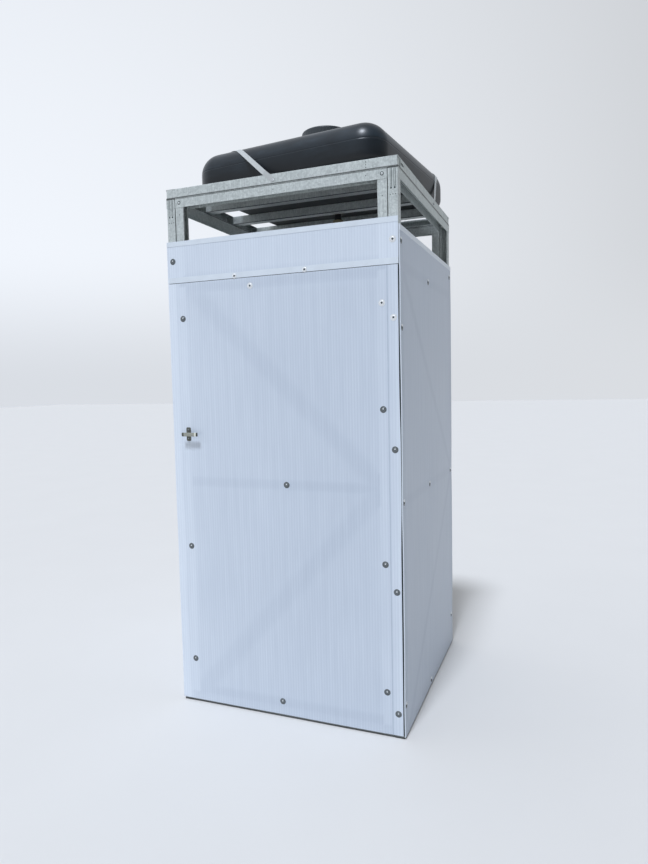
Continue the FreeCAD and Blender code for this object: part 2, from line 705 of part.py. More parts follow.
roof_left = f"{STUD_FOOT} - {HALF_W}"
roof_floor = "wall_height + gauge"
front_rail = roof_member("front_rail", (roof_left, f"-{HALF_D}", roof_floor), (BACK, UP, RIGHT))
rear_rail = roof_member("rear_rail", (roof_left, HALF_D, ROOF_TOP), (FRONT, DOWN, RIGHT))
joists = [
    roof_member(f"joist_{name}", (roof_left, f"{n} * joist_spacing", roof_floor), (BACK, UP, RIGHT))
    for name, n in (("front", -1), ("middle", 0), ("rear", 1))
]
group("roof_joists", joists)


def side_rail(side, turned, rivets):
    """A roof rail with its web notched at both ends, where the front and rear rails pass in."""
    at = (HALF_W, f"-{HALF_D}", "wall_height")
    rail = channel(f"{side}_rail", TRACK, "cabin_depth", at, (LEFT, UP, BACK), turned)
    sign = -1 if turned else 1
    wide = sorted((f"{sign} * ({HALF_W} - 2 * gauge)", f"{sign} * ({HALF_W} + gauge)"), key=number)
    tall = ("wall_height + notch_edge", f"{ROOF_TOP} - notch_edge")
    notches = []
    for end in (-1, 1):
        deep = sorted((f"{end} * ({HALF_D} - flange)", f"{end} * ({HALF_D} + gauge)"), key=number)
        low = (wide[0], deep[0], tall[0])
        high = (wide[1], deep[1], tall[1])
        notches.append(block(f"{side}_rail_notch", low, high))
    rail = cut(f"{side}_rail_notched", rail, fused(f"{side}_rail_notches", notches))
    rail = strapped(f"{side}_rail_strap", rail)
    return riveted(f"{side}_rail", rail, rivets, ROOF_GRIP)


# Door frame

door_width = f"{HINGE_EDGE} - {LOCK_EDGE}"
door_top = channel(
    "door_top", TRACK, door_width, (LOCK_EDGE, f"-{HALF_D}", DOOR_TOP), (DOWN, BACK, RIGHT)
)
door_top = riveted("door_top", door_top, door_rivets)
node(screwed("door_top", door_top, door_screws), "door_top_rail")
door_foot = channel(
    "door_foot", TRACK, door_width, (LOCK_EDGE, front_inside, "door_frame_bottom"), (UP, FRONT, RIGHT)
)
door_foot = riveted("door_foot", door_foot, door_rivets)
node(screwed("door_foot", door_foot, door_screws), "door_bottom_rail")

stile_foot = f"door_frame_bottom + {STUD_FOOT}"
stile_length = f"{DOOR_TOP} - door_frame_bottom - 2 * {STUD_FOOT}"
spindle_spot = [front_spot(LATCH_X, "latch_height", PLATE_FRONT)]
SPINDLE_HOLE = number("spindle_radius + spindle_clearance")
SPINDLE_DEPTH = number("track_web + sheet_thickness + 2 * latch_plate_gauge")
lock_stile = channel(
    "lock_stile", STUD, stile_length, (LOCK_EDGE, f"gauge - {HALF_D}", stile_foot), (RIGHT, BACK, UP)
)
lock_stile = screwed("lock_stile", riveted("lock_stile", lock_stile, door_rivets), door_screws)
lock_stile = drilled("lock_stile_plate", lock_stile, latch_screws, SMALL_HOLE, SCREW_DEPTH)
lock_stile = drilled("lock_stile_spindle", lock_stile, spindle_spot, SPINDLE_HOLE, SPINDLE_DEPTH)
node(lock_stile, "door_lock_stile")
hinge_at = (HINGE_EDGE, f"{front_inside} - gauge", stile_foot)
hinge_stile = channel("hinge_stile", STUD, stile_length, hinge_at, (LEFT, FRONT, UP))
hinge_stile = riveted("hinge_stile", hinge_stile, door_rivets)
node(screwed("hinge_stile", hinge_stile, door_screws), "door_hinge_stile")

bay_left = f"({LOCK_EDGE} + flange)"
bay_right = f"({HINGE_EDGE} - flange)"
mid_rail = channel(
    "mid_rail",
    GIRT,
    f"{bay_right} - {bay_left}",
    (bay_left, f"gauge - {HALF_D}", "door_rail_height - girt_face / 2"),
    (BACK, UP, RIGHT),
)
node(screwed("mid_rail", mid_rail, door_screws), "door_mid_rail")

door_bays = (
    ("lower", "door_frame_bottom + gauge", "door_rail_height - girt_face / 2"),
    ("upper", "door_rail_height + girt_face / 2", f"{DOOR_TOP} - gauge"),
)
door_braces = []
for name, low, high in door_bays:
    face = f"{BRACE_MARGIN} - {HALF_D}"
    corners = ((bay_left, face, low), (bay_right, f"{front_inside} - {BRACE_MARGIN}", high))
    start, end = (low, high) if name == "lower" else (high, low)
    rise = ((bay_left, face, start), (bay_right, face, end))
    door_braces.append(diagonal(f"door_{name}_brace", *corners, *rise, FRONT))
group("door_braces", door_braces)

# Wall sheets and their edge trims

side_back = f"{HALF_D} + sheet_thickness"
side_out = f"{HALF_W} + sheet_thickness"
front_left = f"-{HALF_W} - sheet_thickness"
front_right = f"{HALF_W} - corner_reveal"
header_bottom = "sheet_split + split_gap / 2"


def wall_sheet(label, low, high, screws):
    node(screwed(label, block(label + "_blank", low, high), screws), label)


wall_sheet(
    "right_sheet",
    (HALF_W, f"-{HALF_D} - side_sheet_lap", "side_sheet_bottom"),
    (side_out, side_back, "side_sheet_top"),
    right_screws,
)
wall_sheet(
    "left_sheet",
    (front_left, f"-{HALF_D}", "side_sheet_bottom"),
    (f"-{HALF_W}", side_back, "side_sheet_top"),
    left_screws,
)
wall_sheet(
    "rear_sheet",
    (f"-{HALF_W}", HALF_D, "side_sheet_bottom"),
    (HALF_W, side_back, "side_sheet_top"),
    rear_screws,
)
wall_sheet(
    "header_sheet",
    (front_left, SHEET_FRONT, header_bottom),
    (front_right, f"-{HALF_D}", "header_sheet_top"),
    header_screws,
)
wall_sheet(
    "hinge_strip",
    (f"{FOLD} + fold_gap", SHEET_FRONT, "door_sheet_bottom"),
    (f"{front_right} - strip_inset", f"-{HALF_D}", DOOR_SHEET_TOP),
    hinge_screws,
)
door_blank = block(
    "door_blank",
    (front_left, SHEET_FRONT, "door_sheet_bottom"),
    (f"{FOLD} - fold_gap", f"-{HALF_D}", DOOR_SHEET_TOP),
)
door_sheet = screwed("door_sheet", door_blank, door_screws)
door_sheet = drilled("door_sheet_plate", door_sheet, latch_screws, SMALL_HOLE, SCREW_DEPTH)
node(drilled("door_sheet_spindle", door_sheet, spindle_spot, SPINDLE_HOLE, SPINDLE_DEPTH), "door_sheet")


def trim(label, leg, length, at, axes):
    """An angle trim: a cap over the sheet's edge and a leg down its face."""
    cap = "sheet_thickness + trim_gauge"
    corners = [("0", "0"), (cap, "0"), (cap, "trim_gauge"), ("trim_gauge", "trim_gauge")]
    corners += [("trim_gauge", leg), ("0", leg)]
    body = padded(label, corners, length)
    place(body, at, axes)
    return body


front_run = f"({front_right}) - ({front_left})"
front_line = f"{SHEET_FRONT} - trim_gauge"
side_cap = "side_sheet_top + trim_gauge"
side_run = f"({side_back}) + {HALF_D}"
trims = [
    trim(
        "header_upper_trim",
        "top_trim",
        front_run,
        (front_right, front_line, "header_sheet_top + trim_gauge"),
        (BACK, DOWN, LEFT),
    ),
    screwed(
        "header_lower_trim",
        trim(
            "header_lower_trim_blank",
            "lower_trim",
            front_run,
            (front_left, front_line, f"{header_bottom} - trim_gauge"),
            (BACK, UP, RIGHT),
        ),
        header_screws,
    ),
    trim(
        "right_trim",
        "top_trim",
        f"{side_run} + side_sheet_lap",
        (f"{side_out} + trim_gauge", side_back, side_cap),
        (LEFT, DOWN, FRONT),
    ),
    trim(
        "left_trim",
        "top_trim",
        side_run,
        (f"{front_left} - trim_gauge", f"-{HALF_D}", side_cap),
        (RIGHT, DOWN, BACK),
    ),
    trim(
        "rear_trim",
        "top_trim",
        "cabin_width",
        (f"-{HALF_W}", f"{side_back} + trim_gauge", side_cap),
        (FRONT, DOWN, RIGHT),
    ),
]
group("sheet_edge_trims", trims)

# Tank, lid and seal


def tank_form(label, inset):
    """The tank's form, or its hollow where inset is the wall: a rounded block with a domed top."""
    wide = f"(tank_width / 2 - {inset})"
    deep = f"(tank_depth / 2 - {inset})"
    top = f"(tank_height - 2 * {inset})"
    corners = [(f"-{wide}", f"-{deep}"), (wide, f"-{deep}"), (wide, deep), (f"-{wide}", deep)]
    body = padded(label, corners, top)
    rounded(body, along_at(corners), f"tank_corner - {inset}")
    rounded(body, level_at(top), f"tank_shoulder - {inset}")
    rounded(body, level_at("0"), f"tank_foot - {inset}")
    half = "tank_height / 2"
    dome = f"dome_radius - {inset}"
    crown_level = f"tank_height + dome_rise - 2 * {inset}"
    profile = [("0", half), (dome, half), (dome, top), (f"dome_crown - {inset}", crown_level)]
    profile += [("0", crown_level)]
    sketch = outline(body, profile, "XZ_Plane")
    spin = body.newObject("PartDesign::Revolution", label + "_dome")
    spin.Profile = sketch
    spin.ReferenceAxis = (sketch, ["V_Axis"])
    spin.Angle = 360
    turn = Rotation(UP, number("tank_turn"))
    axes = [turn.multVec(axis) for axis in (RIGHT, BACK, UP)]
    place(body, ("tank_shift", "0", f"{ROOF_TOP} + {inset}"), axes)
    return body


outlet_at = ("tank_shift", "outlet_back")
outlet_room = "outlet_radius + outlet_clearance"
outlet_hole = rod("outlet_hole", outlet_room, "2 * tank_wall", (*outlet_at, f"{ROOF_TOP} - gauge"), UP)
neck_bore = "neck_radius - tank_wall"
crown_top = f"{ROOF_TOP} + tank_height + dome_rise"
filler_at = ("tank_shift", "0", f"{crown_top} - 2 * tank_wall")
filler_hole = rod("filler_hole", neck_bore, "3 * tank_wall", filler_at, UP)
tank_hollow = fused("tank_openings", [tank_form("tank_hollow", "tank_wall"), outlet_hole, filler_hole])
node(cut("tank", tank_form("tank_form", "0"), tank_hollow), "tank_shell")

lid_inside = "neck_radius + lid_clearance"
lid_outside = f"{lid_inside} + lid_wall"
lid_level = f"{ROOF_TOP} + tank_height + lid_bottom"
lid_corners = [(lid_inside, "0"), (lid_outside, "0"), (lid_outside, "lid_height - lid_wall")]
lid_corners += [(lid_inside, "lid_height"), ("0", "lid_height"), ("0", "lid_height - lid_wall")]
lid_corners += [(lid_inside, "lid_height - lid_wall")]
node(turned_piece("lid", lid_corners, ("tank_shift", "0", lid_level)), "tank_lid")


def ring(label, inside, outside, height, at):
    corners = [(inside, "0"), (outside, "0"), (outside, height), (inside, height)]
    return node(turned_piece(label + "_ring", corners, at), label)


neck_height = f"{NECK_TOP} - tank_height - dome_rise"
ring("tank_neck", neck_bore, "neck_radius", neck_height, ("tank_shift", "0", crown_top))
seal_level = f"{lid_level} + lid_height - lid_wall - seal_gauge"
seal_inside = "neck_radius - 2 * tank_wall"
ring("lid_seal", seal_inside, "neck_radius", "seal_gauge", ("tank_shift", "0", seal_level))

# Outlet, valve and shower rose

ring(
    "outlet_seal",
    outlet_room,
    "outlet_flange",
    "seal_gauge",
    (*outlet_at, f"{ROOF_TOP} + tank_wall"),
)
tube = "outlet_drop + tank_wall + seal_gauge"
flange_top = f"{tube} + outlet_gauge"
tube_end = f"{ROOF_TOP} - outlet_drop"
fitting_corners = [("outlet_bore", "0"), ("outlet_radius", "0"), ("outlet_radius", tube)]
fitting_corners += [("outlet_flange", tube), ("outlet_flange", flange_top), ("outlet_bore", flange_top)]
node(turned_piece("fitting", fitting_corners, (*outlet_at, tube_end)), "outlet_fitting")

nut_blank = doc.addObject("Part::Prism", "outlet_nut_blank")
nut_blank.Polygon = 6
nut_blank.setExpression("Circumradius", bound("outlet_flange"))
nut_blank.setExpression("Height", bound("nut_height"))
nut_level = f"{ROOF_TOP} - nut_height"
place(nut_blank, (*outlet_at, nut_level))
nut_bore = rod("outlet_nut_bore", "outlet_radius + snug", "nut_height", (*outlet_at, nut_level), UP)
node(cut("outlet_nut_cut", nut_blank, nut_bore), "outlet_nut")

valve_top = f"{tube_end} + socket_depth"
valve_bottom = f"{valve_top} - valve_height"
ball_level = f"{tube_end} - ball_radius - outlet_bore"
stem_reach = "(valve_radius + stem_radius + lever_gauge)"
stem_room = "stem_radius + ball_clearance"
valve_block = rod("valve_block", "valve_radius", "valve_height", (*outlet_at, valve_bottom), UP)
boss_length = "valve_radius + stem_radius"
stem_boss = rod("stem_boss", "2 * stem_radius", boss_length, (*outlet_at, ball_level), FRONT)
ball_room = doc.addObject("Part::Sphere", "ball_room")
ball_room.setExpression("Radius", bound("ball_radius + ball_clearance"))
place(ball_room, (*outlet_at, ball_level))
valve_cuts = [
    ball_room,
    rod("valve_socket", "outlet_radius + snug", "socket_depth", (*outlet_at, tube_end), UP),
    rod("valve_bore", "outlet_bore", "valve_height", (*outlet_at, valve_bottom), UP),
    rod("stem_bore", stem_room, f"2 * {stem_reach}", (*outlet_at, ball_level), FRONT),
]
valve_casting = fused("valve_casting", [valve_block, stem_boss])
node(cut("valve", valve_casting, fused("valve_ways", valve_cuts)), "valve_body")

ball = doc.addObject("Part::Sphere", "ball")
ball.setExpression("Radius", bound("ball_radius"))
place(ball, (*outlet_at, ball_level), (RIGHT, UP, FRONT))
ball_face = "outlet_back - ball_flat"
way_start = ("tank_shift - 2 * ball_radius", "outlet_back", ball_level)
ball_way = rod("ball_way", "outlet_bore", "4 * ball_radius", way_start, RIGHT)
flat = block(
    "ball_flat_cut",
    ("tank_shift - ball_radius", "outlet_back - 2 * ball_radius", f"{ball_level} - ball_radius"),
    ("tank_shift + ball_radius", ball_face, f"{ball_level} + ball_radius"),
)
node(cut("ball_cut", ball, fused("ball_cuts", [ball_way, flat])), "valve_ball")

lever_back = f"outlet_back - {stem_reach}"
stem_length = f"({ball_face}) - ({lever_back})"
stem = rod("stem", "stem_radius", stem_length, ("tank_shift", ball_face, ball_level), FRONT)
hub_disc = rod("hub_disc", "lever_hub", "lever_gauge", ("tank_shift", lever_back, ball_level), FRONT)
lever_bar = block(
    "lever_bar",
    ("tank_shift", f"{lever_back} - lever_gauge", f"{ball_level} - lever_width / 2"),
    ("tank_shift + lever_length", lever_back, f"{ball_level} + lever_width / 2"),
)
node(fused("lever", [stem, hub_disc, lever_bar]), "valve_lever")

rose_neck = "outlet_bore + rose_wall"
rose_room = "rose_radius - rose_wall"
rose_corners = [("0", "0"), ("rose_radius", "0"), ("rose_radius", "rose_rim")]
rose_corners += [(rose_neck, "rose_height / 2 + rose_wall"), (rose_neck, "rose_height")]
rose_corners += [("outlet_bore", "rose_height"), ("outlet_bore", "rose_height / 2")]
rose_corners += [(rose_room, "rose_rim - 2 * gauge"), (rose_room, "rose_wall"), ("0", "rose_wall")]
rose = turned_piece("rose", rose_corners, (*outlet_at, f"{valve_bottom} - rose_height"))
spray = []
middle = point(*outlet_at, f"{valve_bottom} - rose_height")
for share, count in SPRAY_RINGS:
    reach = share * number("rose_radius")
    for step in range(count):
        angle = 2 * math.pi * step / count
        spray.append(Spot(middle + Vector(reach * math.cos(angle), reach * math.sin(angle), 0), DOWN))
node(drilled("rose", rose, spray, number("spray_radius"), number("rose_wall + gauge")), "shower_rose")

# Band straps over the tank


def tank_inset(x, y):
    """How far a plan point lies inside the tank's outline."""
    turn = math.radians(-number("tank_turn"))
    east = x - number("tank_shift")
    local_x = east * math.cos(turn) - y * math.sin(turn)
    local_y = east * math.sin(turn) + y * math.cos(turn)
    corner = number("tank_corner")
    over_x = abs(local_x) - number("tank_width / 2") + corner
    over_y = abs(local_y) - number("tank_depth / 2") + corner
    return corner - math.hypot(max(over_x, 0), max(over_y, 0)) - min(max(over_x, over_y), 0)


def tank_surface(x, y):
    """Height of the tank's shoulder or flat top over a plan point inside its outline."""
    shoulder = number("tank_shoulder")
    short = max(shoulder - tank_inset(x, y), 0)
    drop = shoulder - math.sqrt(max(shoulder**2 - short**2, 0))
    return number(f"{ROOF_TOP} + tank_height") - drop


def tank_normal(spot):
    """The tank's outward direction over a plan point, from its slope."""
    here = tank_surface(spot.x, spot.y)
    east = tank_surface(spot.x + TINY, spot.y)
    north = tank_surface(spot.x, spot.y + TINY)
    return Vector((here - east) / TINY, (here - north) / TINY, 1).normalize()


def shoulder_point(outside, inwards):
    """The plan point where a strap crosses the tank's shoulder, found from outside the tank."""
    reach = 0
    bite = number("strap_bite")
    while tank_inset(outside.x + inwards.x * reach, outside.y + inwards.y * reach) < bite:
        reach += number("strap_gauge")
    return outside + inwards * reach


def resting(spot):
    """A strap's line over a plan point of the tank."""
    top = Vector(spot.x, spot.y, tank_surface(spot.x, spot.y))
    return top + tank_normal(spot) * number("strap_clearance")


def plan_distance(a, b):
    return math.hypot(a.x - b.x, a.y - b.y)


def taut_stretch(first, last):
    """A tight line between two points: the upper hull of the tank's section between them."""
    line = [first]
    for step in range(1, STRAP_SAMPLES):
        spot = first + (last - first) * (step / STRAP_SAMPLES)
        if tank_inset(spot.x, spot.y) > number("strap_clearance"):
            line.append(resting(spot))
    line.append(last)
    hull = []
    for spot in line:
        while len(hull) > 1:
            before, here = hull[-2], hull[-1]
            climb = (spot.z - before.z) * plan_distance(here, before)
            if climb < (here.z - before.z) * plan_distance(spot, before):
                break
            hull.pop()
        hull.append(spot)
    return hull


def divided(line, normals):
    """The line and its normals with the long stretches divided, so that the band twists evenly."""
    spots = [line[0]]
    outs = [normals[0]]
    for index in range(1, len(line)):
        start, end = line[index - 1], line[index]
        pieces = math.ceil((end - start).Length / number("strap_width"))
        for step in range(1, pieces + 1):
            share = step / pieces
            spots.append(start + (end - start) * share)
            outs.append(normals[index - 1] * (1 - share) + normals[index] * share)
    return spots, outs


def facet(*corners):
    return Part.Face(Part.makePolygon([*corners, corners[0]]))


def band(line, normals):
    """A flat band along a line: rectangles square to it, joined corner to corner by flat facets."""
    half = number("strap_width / 2")
    thick = number("strap_gauge")
    rims = []
    for index, spot in enumerate(line):
        before = line[max(index - 1, 0)]
        after = line[min(index + 1, len(line) - 1)]
        run = (after - before).normalize()
        out = normals[index] - run * normals[index].dot(run)
        out.normalize()
        side = out.cross(run) * half
        rims.append([spot + side, spot - side, spot - side + out * thick, spot + side + out * thick])
    first, last = rims[0], rims[-1]
    facets = [facet(first[2], first[1], first[0]), facet(first[0], first[3], first[2])]
    facets += [facet(last[0], last[1], last[2]), facet(last[2], last[3], last[0])]
    for near, far in zip(rims, rims[1:]):
        for a, b in ((0, 1), (1, 2)):
            facets.append(facet(near[a], near[b], far[b]))
            facets.append(facet(near[a], far[b], far[a]))
        for a, b in ((3, 2), (0, 3)):
            facets.append(facet(near[a], far[b], near[b]))
            facets.append(facet(near[a], far[a], far[b]))
    return Part.makeSolid(Part.makeShell(facets))


def leaning(foot, out, towards):
    """Where a strap leaves its rail's face: straight up the face, leaning the way the strap runs."""
    rise = number(f"{ROOF_TOP} + strap_width / 2") - foot.z
    run = towards - foot
    return foot + (run - out * run.dot(out)) * (rise / run.z)


def strap(label, first, first_out, last, last_out, first_turn, last_turn):
    """A band from one roof rail's face, over the tank, to the next rail's face, with its screw spots."""
    first_rest = resting(first_turn)
    last_rest = resting(last_turn)
    middle = taut_stretch(leaning(first, first_out, first_rest), first_rest)
    middle += taut_stretch(first_rest, last_rest)[1:]
    middle += taut_stretch(last_rest, leaning(last, last_out, last_rest))[1:]
    shoulders = [tank_normal(spot) for spot in middle[1:-1]]
    normals = [first_out, first_out] + shoulders + [last_out, last_out]
    solid = band(*divided([first] + middle + [last], normals))
    thick = number("strap_gauge")
    spots = [Spot(first + first_out * thick, first_out), Spot(last + last_out * thick, last_out)]
    for spot in spots:
        solid = solid.cut(Part.makeCylinder(SMALL_HOLE, SCREW_DEPTH, spot.at + spot.out, -spot.out))
    piece = doc.addObject("Part::Feature", label)
    piece.Shape = solid
    node(piece, label)
    return spots


foot_level = "wall_height + strap_screw_rise"
front_foot = point("strap_front", f"-{HALF_D}", foot_level)
left_foot = point(f"-{HALF_W}", "strap_left", foot_level)
right_foot = point(HALF_W, "strap_right", foot_level)
rear_foot = point("strap_rear", HALF_D, foot_level)
front_turn = shoulder_point(point("strap_front_turn", f"-{HALF_D}", "0"), BACK)
left_turn = shoulder_point(point(f"-{HALF_W}", "strap_left_turn", "0"), RIGHT)
right_turn = shoulder_point(point(HALF_W, "strap_right_turn", "0"), LEFT)
rear_turn = shoulder_point(point("strap_rear_turn", HALF_D, "0"), FRONT)
strap_spots = strap("front_left_strap", front_foot, FRONT, left_foot, LEFT, front_turn, left_turn)
strap_spots += strap("rear_right_strap", right_foot, RIGHT, rear_foot, BACK, right_turn, rear_turn)


def strapped(label, rail):
    return drilled(label, rail, strap_spots, SMALL_HOLE, SCREW_DEPTH)


node(strapped("front_rail_strap", front_rail), "roof_front_rail")
node(strapped("rear_rail_strap", rear_rail), "roof_rear_rail")
side_rails = [side_rail("right", False, right_roof_rivets), side_rail("left", True, left_roof_rivets)]
group("roof_side_rails", side_rails)

# Turn latch

plate = block(
    "latch_plate_blank",
    (f"{LATCH_X} - latch_plate_width / 2", PLATE_FRONT, "latch_height - latch_plate_height / 2"),
    (f"{LATCH_X} + latch_plate_width / 2", SHEET_FRONT, "latch_height + latch_plate_height / 2"),
)
plate = drilled("latch_plate_screws", plate, latch_screws, SMALL_HOLE, SCREW_DEPTH)
node(drilled("latch_plate_spindle", plate, spindle_spot, SPINDLE_HOLE, SPINDLE_DEPTH), "latch_plate")

bar_back = f"{PLATE_FRONT} - bar_standoff"
bar_middle = f"{LATCH_X} + bar_offset"
bar = block(
    "latch_bar",
    (f"{bar_middle} - bar_length / 2", f"{bar_back} - bar_gauge", "latch_height - bar_width / 2"),
    (f"{bar_middle} + bar_length / 2", bar_back, "latch_height + bar_width / 2"),
)
spindle_start = (LATCH_X, bar_back, "latch_height")
hub = rod("latch_hub", "hub_radius", "bar_standoff - spindle_clearance", spindle_start, BACK)
tongue_face = f"{front_inside} + tongue_gap"
nut_face = f"{tongue_face} + tongue_gauge"
spindle_length = f"({nut_face} + locknut_height) - ({bar_back})"
spindle = rod("latch_spindle", "spindle_radius", spindle_length, spindle_start, BACK)
node(fused("latch_handle_fused", [bar, hub, spindle]), "latch_handle")

tongue = block(
    "tongue_blank",
    (f"{LATCH_X} - tongue_width / 2", tongue_face, "latch_height - tongue_length"),
    (f"{LATCH_X} + tongue_width / 2", nut_face, "latch_height + tongue_width / 2"),
)
spindle_room = "spindle_radius + snug"
hole_start = (LATCH_X, f"{tongue_face} - gauge", "latch_height")
tongue_hole = rod("tongue_hole", spindle_room, "2 * tongue_gauge", hole_start, BACK)
node(cut("tongue_cut", tongue, tongue_hole), "latch_tongue")

locknut = doc.addObject("Part::Prism", "locknut_blank")
locknut.Polygon = 6
locknut.setExpression("Circumradius", bound("locknut_radius"))
locknut.setExpression("Height", bound("locknut_height"))
locknut_at = (LATCH_X, nut_face, "latch_height")
place(locknut, locknut_at, (LEFT, UP, BACK))
locknut_bore = rod("locknut_bore", spindle_room, "locknut_height", locknut_at, BACK)
node(cut("locknut_cut", locknut, locknut_bore), "latch_nut")

# Screws and rivets

screw_steps = [(number("screw_shank"), SCREW_DEPTH)]
screw = headed_pin(number("screw_head"), number("screw_head_height"), screw_steps)
small_steps = [(number("small_shank"), SCREW_DEPTH)]
small_screw = headed_pin(number("small_head"), number("small_head_height"), small_steps)


def rivet(grip):
    steps = [(number("rivet_shank"), grip), (number("rivet_tail"), number("rivet_tail_height"))]
    return headed_pin(number("rivet_head"), number("rivet_head_height"), steps)


fixed_sheet_screws = header_screws + hinge_screws + right_screws + left_screws + rear_screws
fasteners("wall_sheet_screws", [(screw, fixed_sheet_screws)])
fasteners("door_sheet_screws", [(screw, door_screws), (small_screw, latch_screws)])
fasteners("strap_screws", [(small_screw, strap_spots)])
wall_rivets = header_rivets + rear_rivets + right_rivets + left_rivets
fasteners("frame_rivets", [(rivet(RIVET_GRIP), wall_rivets), (rivet(ROOF_GRIP), roof_rivets)])
fasteners("door_frame_rivets", [(rivet(RIVET_GRIP), door_rivets)])

# Check every object, then write each sub-part

doc.recompute()
for obj in doc.Objects:
    if "Invalid" in obj.State or "Error" in obj.State:
        raise RuntimeError(f"{obj.Name} failed to build")
os.makedirs("parts", exist_ok=True)
for obj in NODES:
    if obj.Shape.isNull() or not obj.Shape.isValid():
        raise RuntimeError(f"{obj.Label} has no valid shape")
for obj in NODES:
    obj.Shape.exportStep(f"parts/{obj.Label}.step")
    print(obj.Label, len(obj.Shape.Solids), round(obj.Shape.Volume))
print(len(NODES), "sub-parts")
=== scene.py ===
import json
import math

import bmesh
import bpy
import numpy as np
from bpy.props import FloatProperty, FloatVectorProperty, IntProperty, PointerProperty
from mathutils import Matrix, Vector


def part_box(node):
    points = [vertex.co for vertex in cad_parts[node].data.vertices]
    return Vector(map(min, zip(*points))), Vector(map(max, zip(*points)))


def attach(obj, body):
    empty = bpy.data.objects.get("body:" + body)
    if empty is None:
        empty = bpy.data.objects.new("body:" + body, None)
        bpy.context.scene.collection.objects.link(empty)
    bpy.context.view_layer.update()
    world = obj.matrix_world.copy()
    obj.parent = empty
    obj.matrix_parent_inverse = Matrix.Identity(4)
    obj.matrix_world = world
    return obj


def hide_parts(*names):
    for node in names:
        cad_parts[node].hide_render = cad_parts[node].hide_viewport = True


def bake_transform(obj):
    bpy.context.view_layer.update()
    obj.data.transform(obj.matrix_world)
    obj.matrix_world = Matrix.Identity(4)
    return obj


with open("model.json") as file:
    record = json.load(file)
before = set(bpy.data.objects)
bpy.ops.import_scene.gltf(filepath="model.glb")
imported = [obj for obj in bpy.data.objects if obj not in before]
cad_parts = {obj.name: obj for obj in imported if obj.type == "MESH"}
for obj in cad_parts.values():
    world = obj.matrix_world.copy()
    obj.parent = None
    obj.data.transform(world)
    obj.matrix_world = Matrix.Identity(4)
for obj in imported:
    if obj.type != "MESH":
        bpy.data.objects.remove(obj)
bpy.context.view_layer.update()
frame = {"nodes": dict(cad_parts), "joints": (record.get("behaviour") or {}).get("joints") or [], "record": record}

bl_info = {
    "name": "Outdoor shower cabin",
    "version": (1, 0, 0),
    "blender": (4, 5, 0),
    "location": "View3D > Sidebar > Shower cabin",
    "description": "Dresses the packed shower cabin with its sheets, tank, fixings and finishes",
    "category": "Object",
}

MM = 0.001
IMAGE_HEIGHT = 864
SENSOR = 36.0
QUARTER_TURN = np.pi / 2

# Sheets: the axis across their thickness, the way their outer face looks, their body, and what backs
# them.
SHEETS = {
    "door_sheet": (1, -1, "door", (
        "door_top_rail", "door_bottom_rail", "door_lock_stile", "door_hinge_stile", "door_mid_rail",
        "door_braces",
    )),
    "header_sheet": (1, -1, "cabin", (
        "header_bottom_rail", "header_studs", "left_front_post", "right_front_post",
    )),
    "hinge_strip": (1, -1, "cabin", ("right_front_post",)),
    "right_sheet": (0, 1, "cabin", (
        "right_front_post", "right_rear_post", "right_bottom_track", "right_girts", "right_braces",
    )),
    "left_sheet": (0, -1, "cabin", (
        "left_front_post", "left_rear_post", "left_bottom_track", "left_girts", "left_braces",
    )),
    "rear_sheet": (1, 1, "cabin", (
        "left_rear_post", "right_rear_post", "rear_bottom_track", "rear_studs", "rear_girts", "rear_braces",
    )),
}
BOWED_SHEETS = ("door_sheet", "right_sheet", "left_sheet", "rear_sheet")
FRONT = (1, -1)


# Sizes and colours


def linear(code):
    """An sRGB hex colour as linear red, green, blue and alpha."""
    srgb = np.array([int(code[at:at + 2], 16) for at in (1, 3, 5)]) / 255
    low = srgb / 12.92
    high = ((srgb + 0.055) / 1.055) ** 2.4
    return (*np.where(srgb <= 0.04045, low, high).tolist(), 1.0)


def number(name, description, default, **more):
    return FloatProperty(name=name, description=description, default=default, **more)


def length(name, description, millimetres):
    return number(name, description, millimetres * MM, unit="LENGTH", precision=4)


def degrees(name, description, default):
    return number(name, description, math.radians(default), unit="ROTATION")


def numbers(name, description, default, **more):
    return FloatVectorProperty(name=name, description=description, default=default, size=len(default), **more)


def colour(name, description, code):
    return numbers(name, description, linear(code), subtype="COLOR", min=0, max=1)


def whole(name, description, default, least):
    return IntProperty(name=name, description=description, default=default, min=least)


def group(kind, name, description):
    return PointerProperty(type=kind, name=name, description=description)


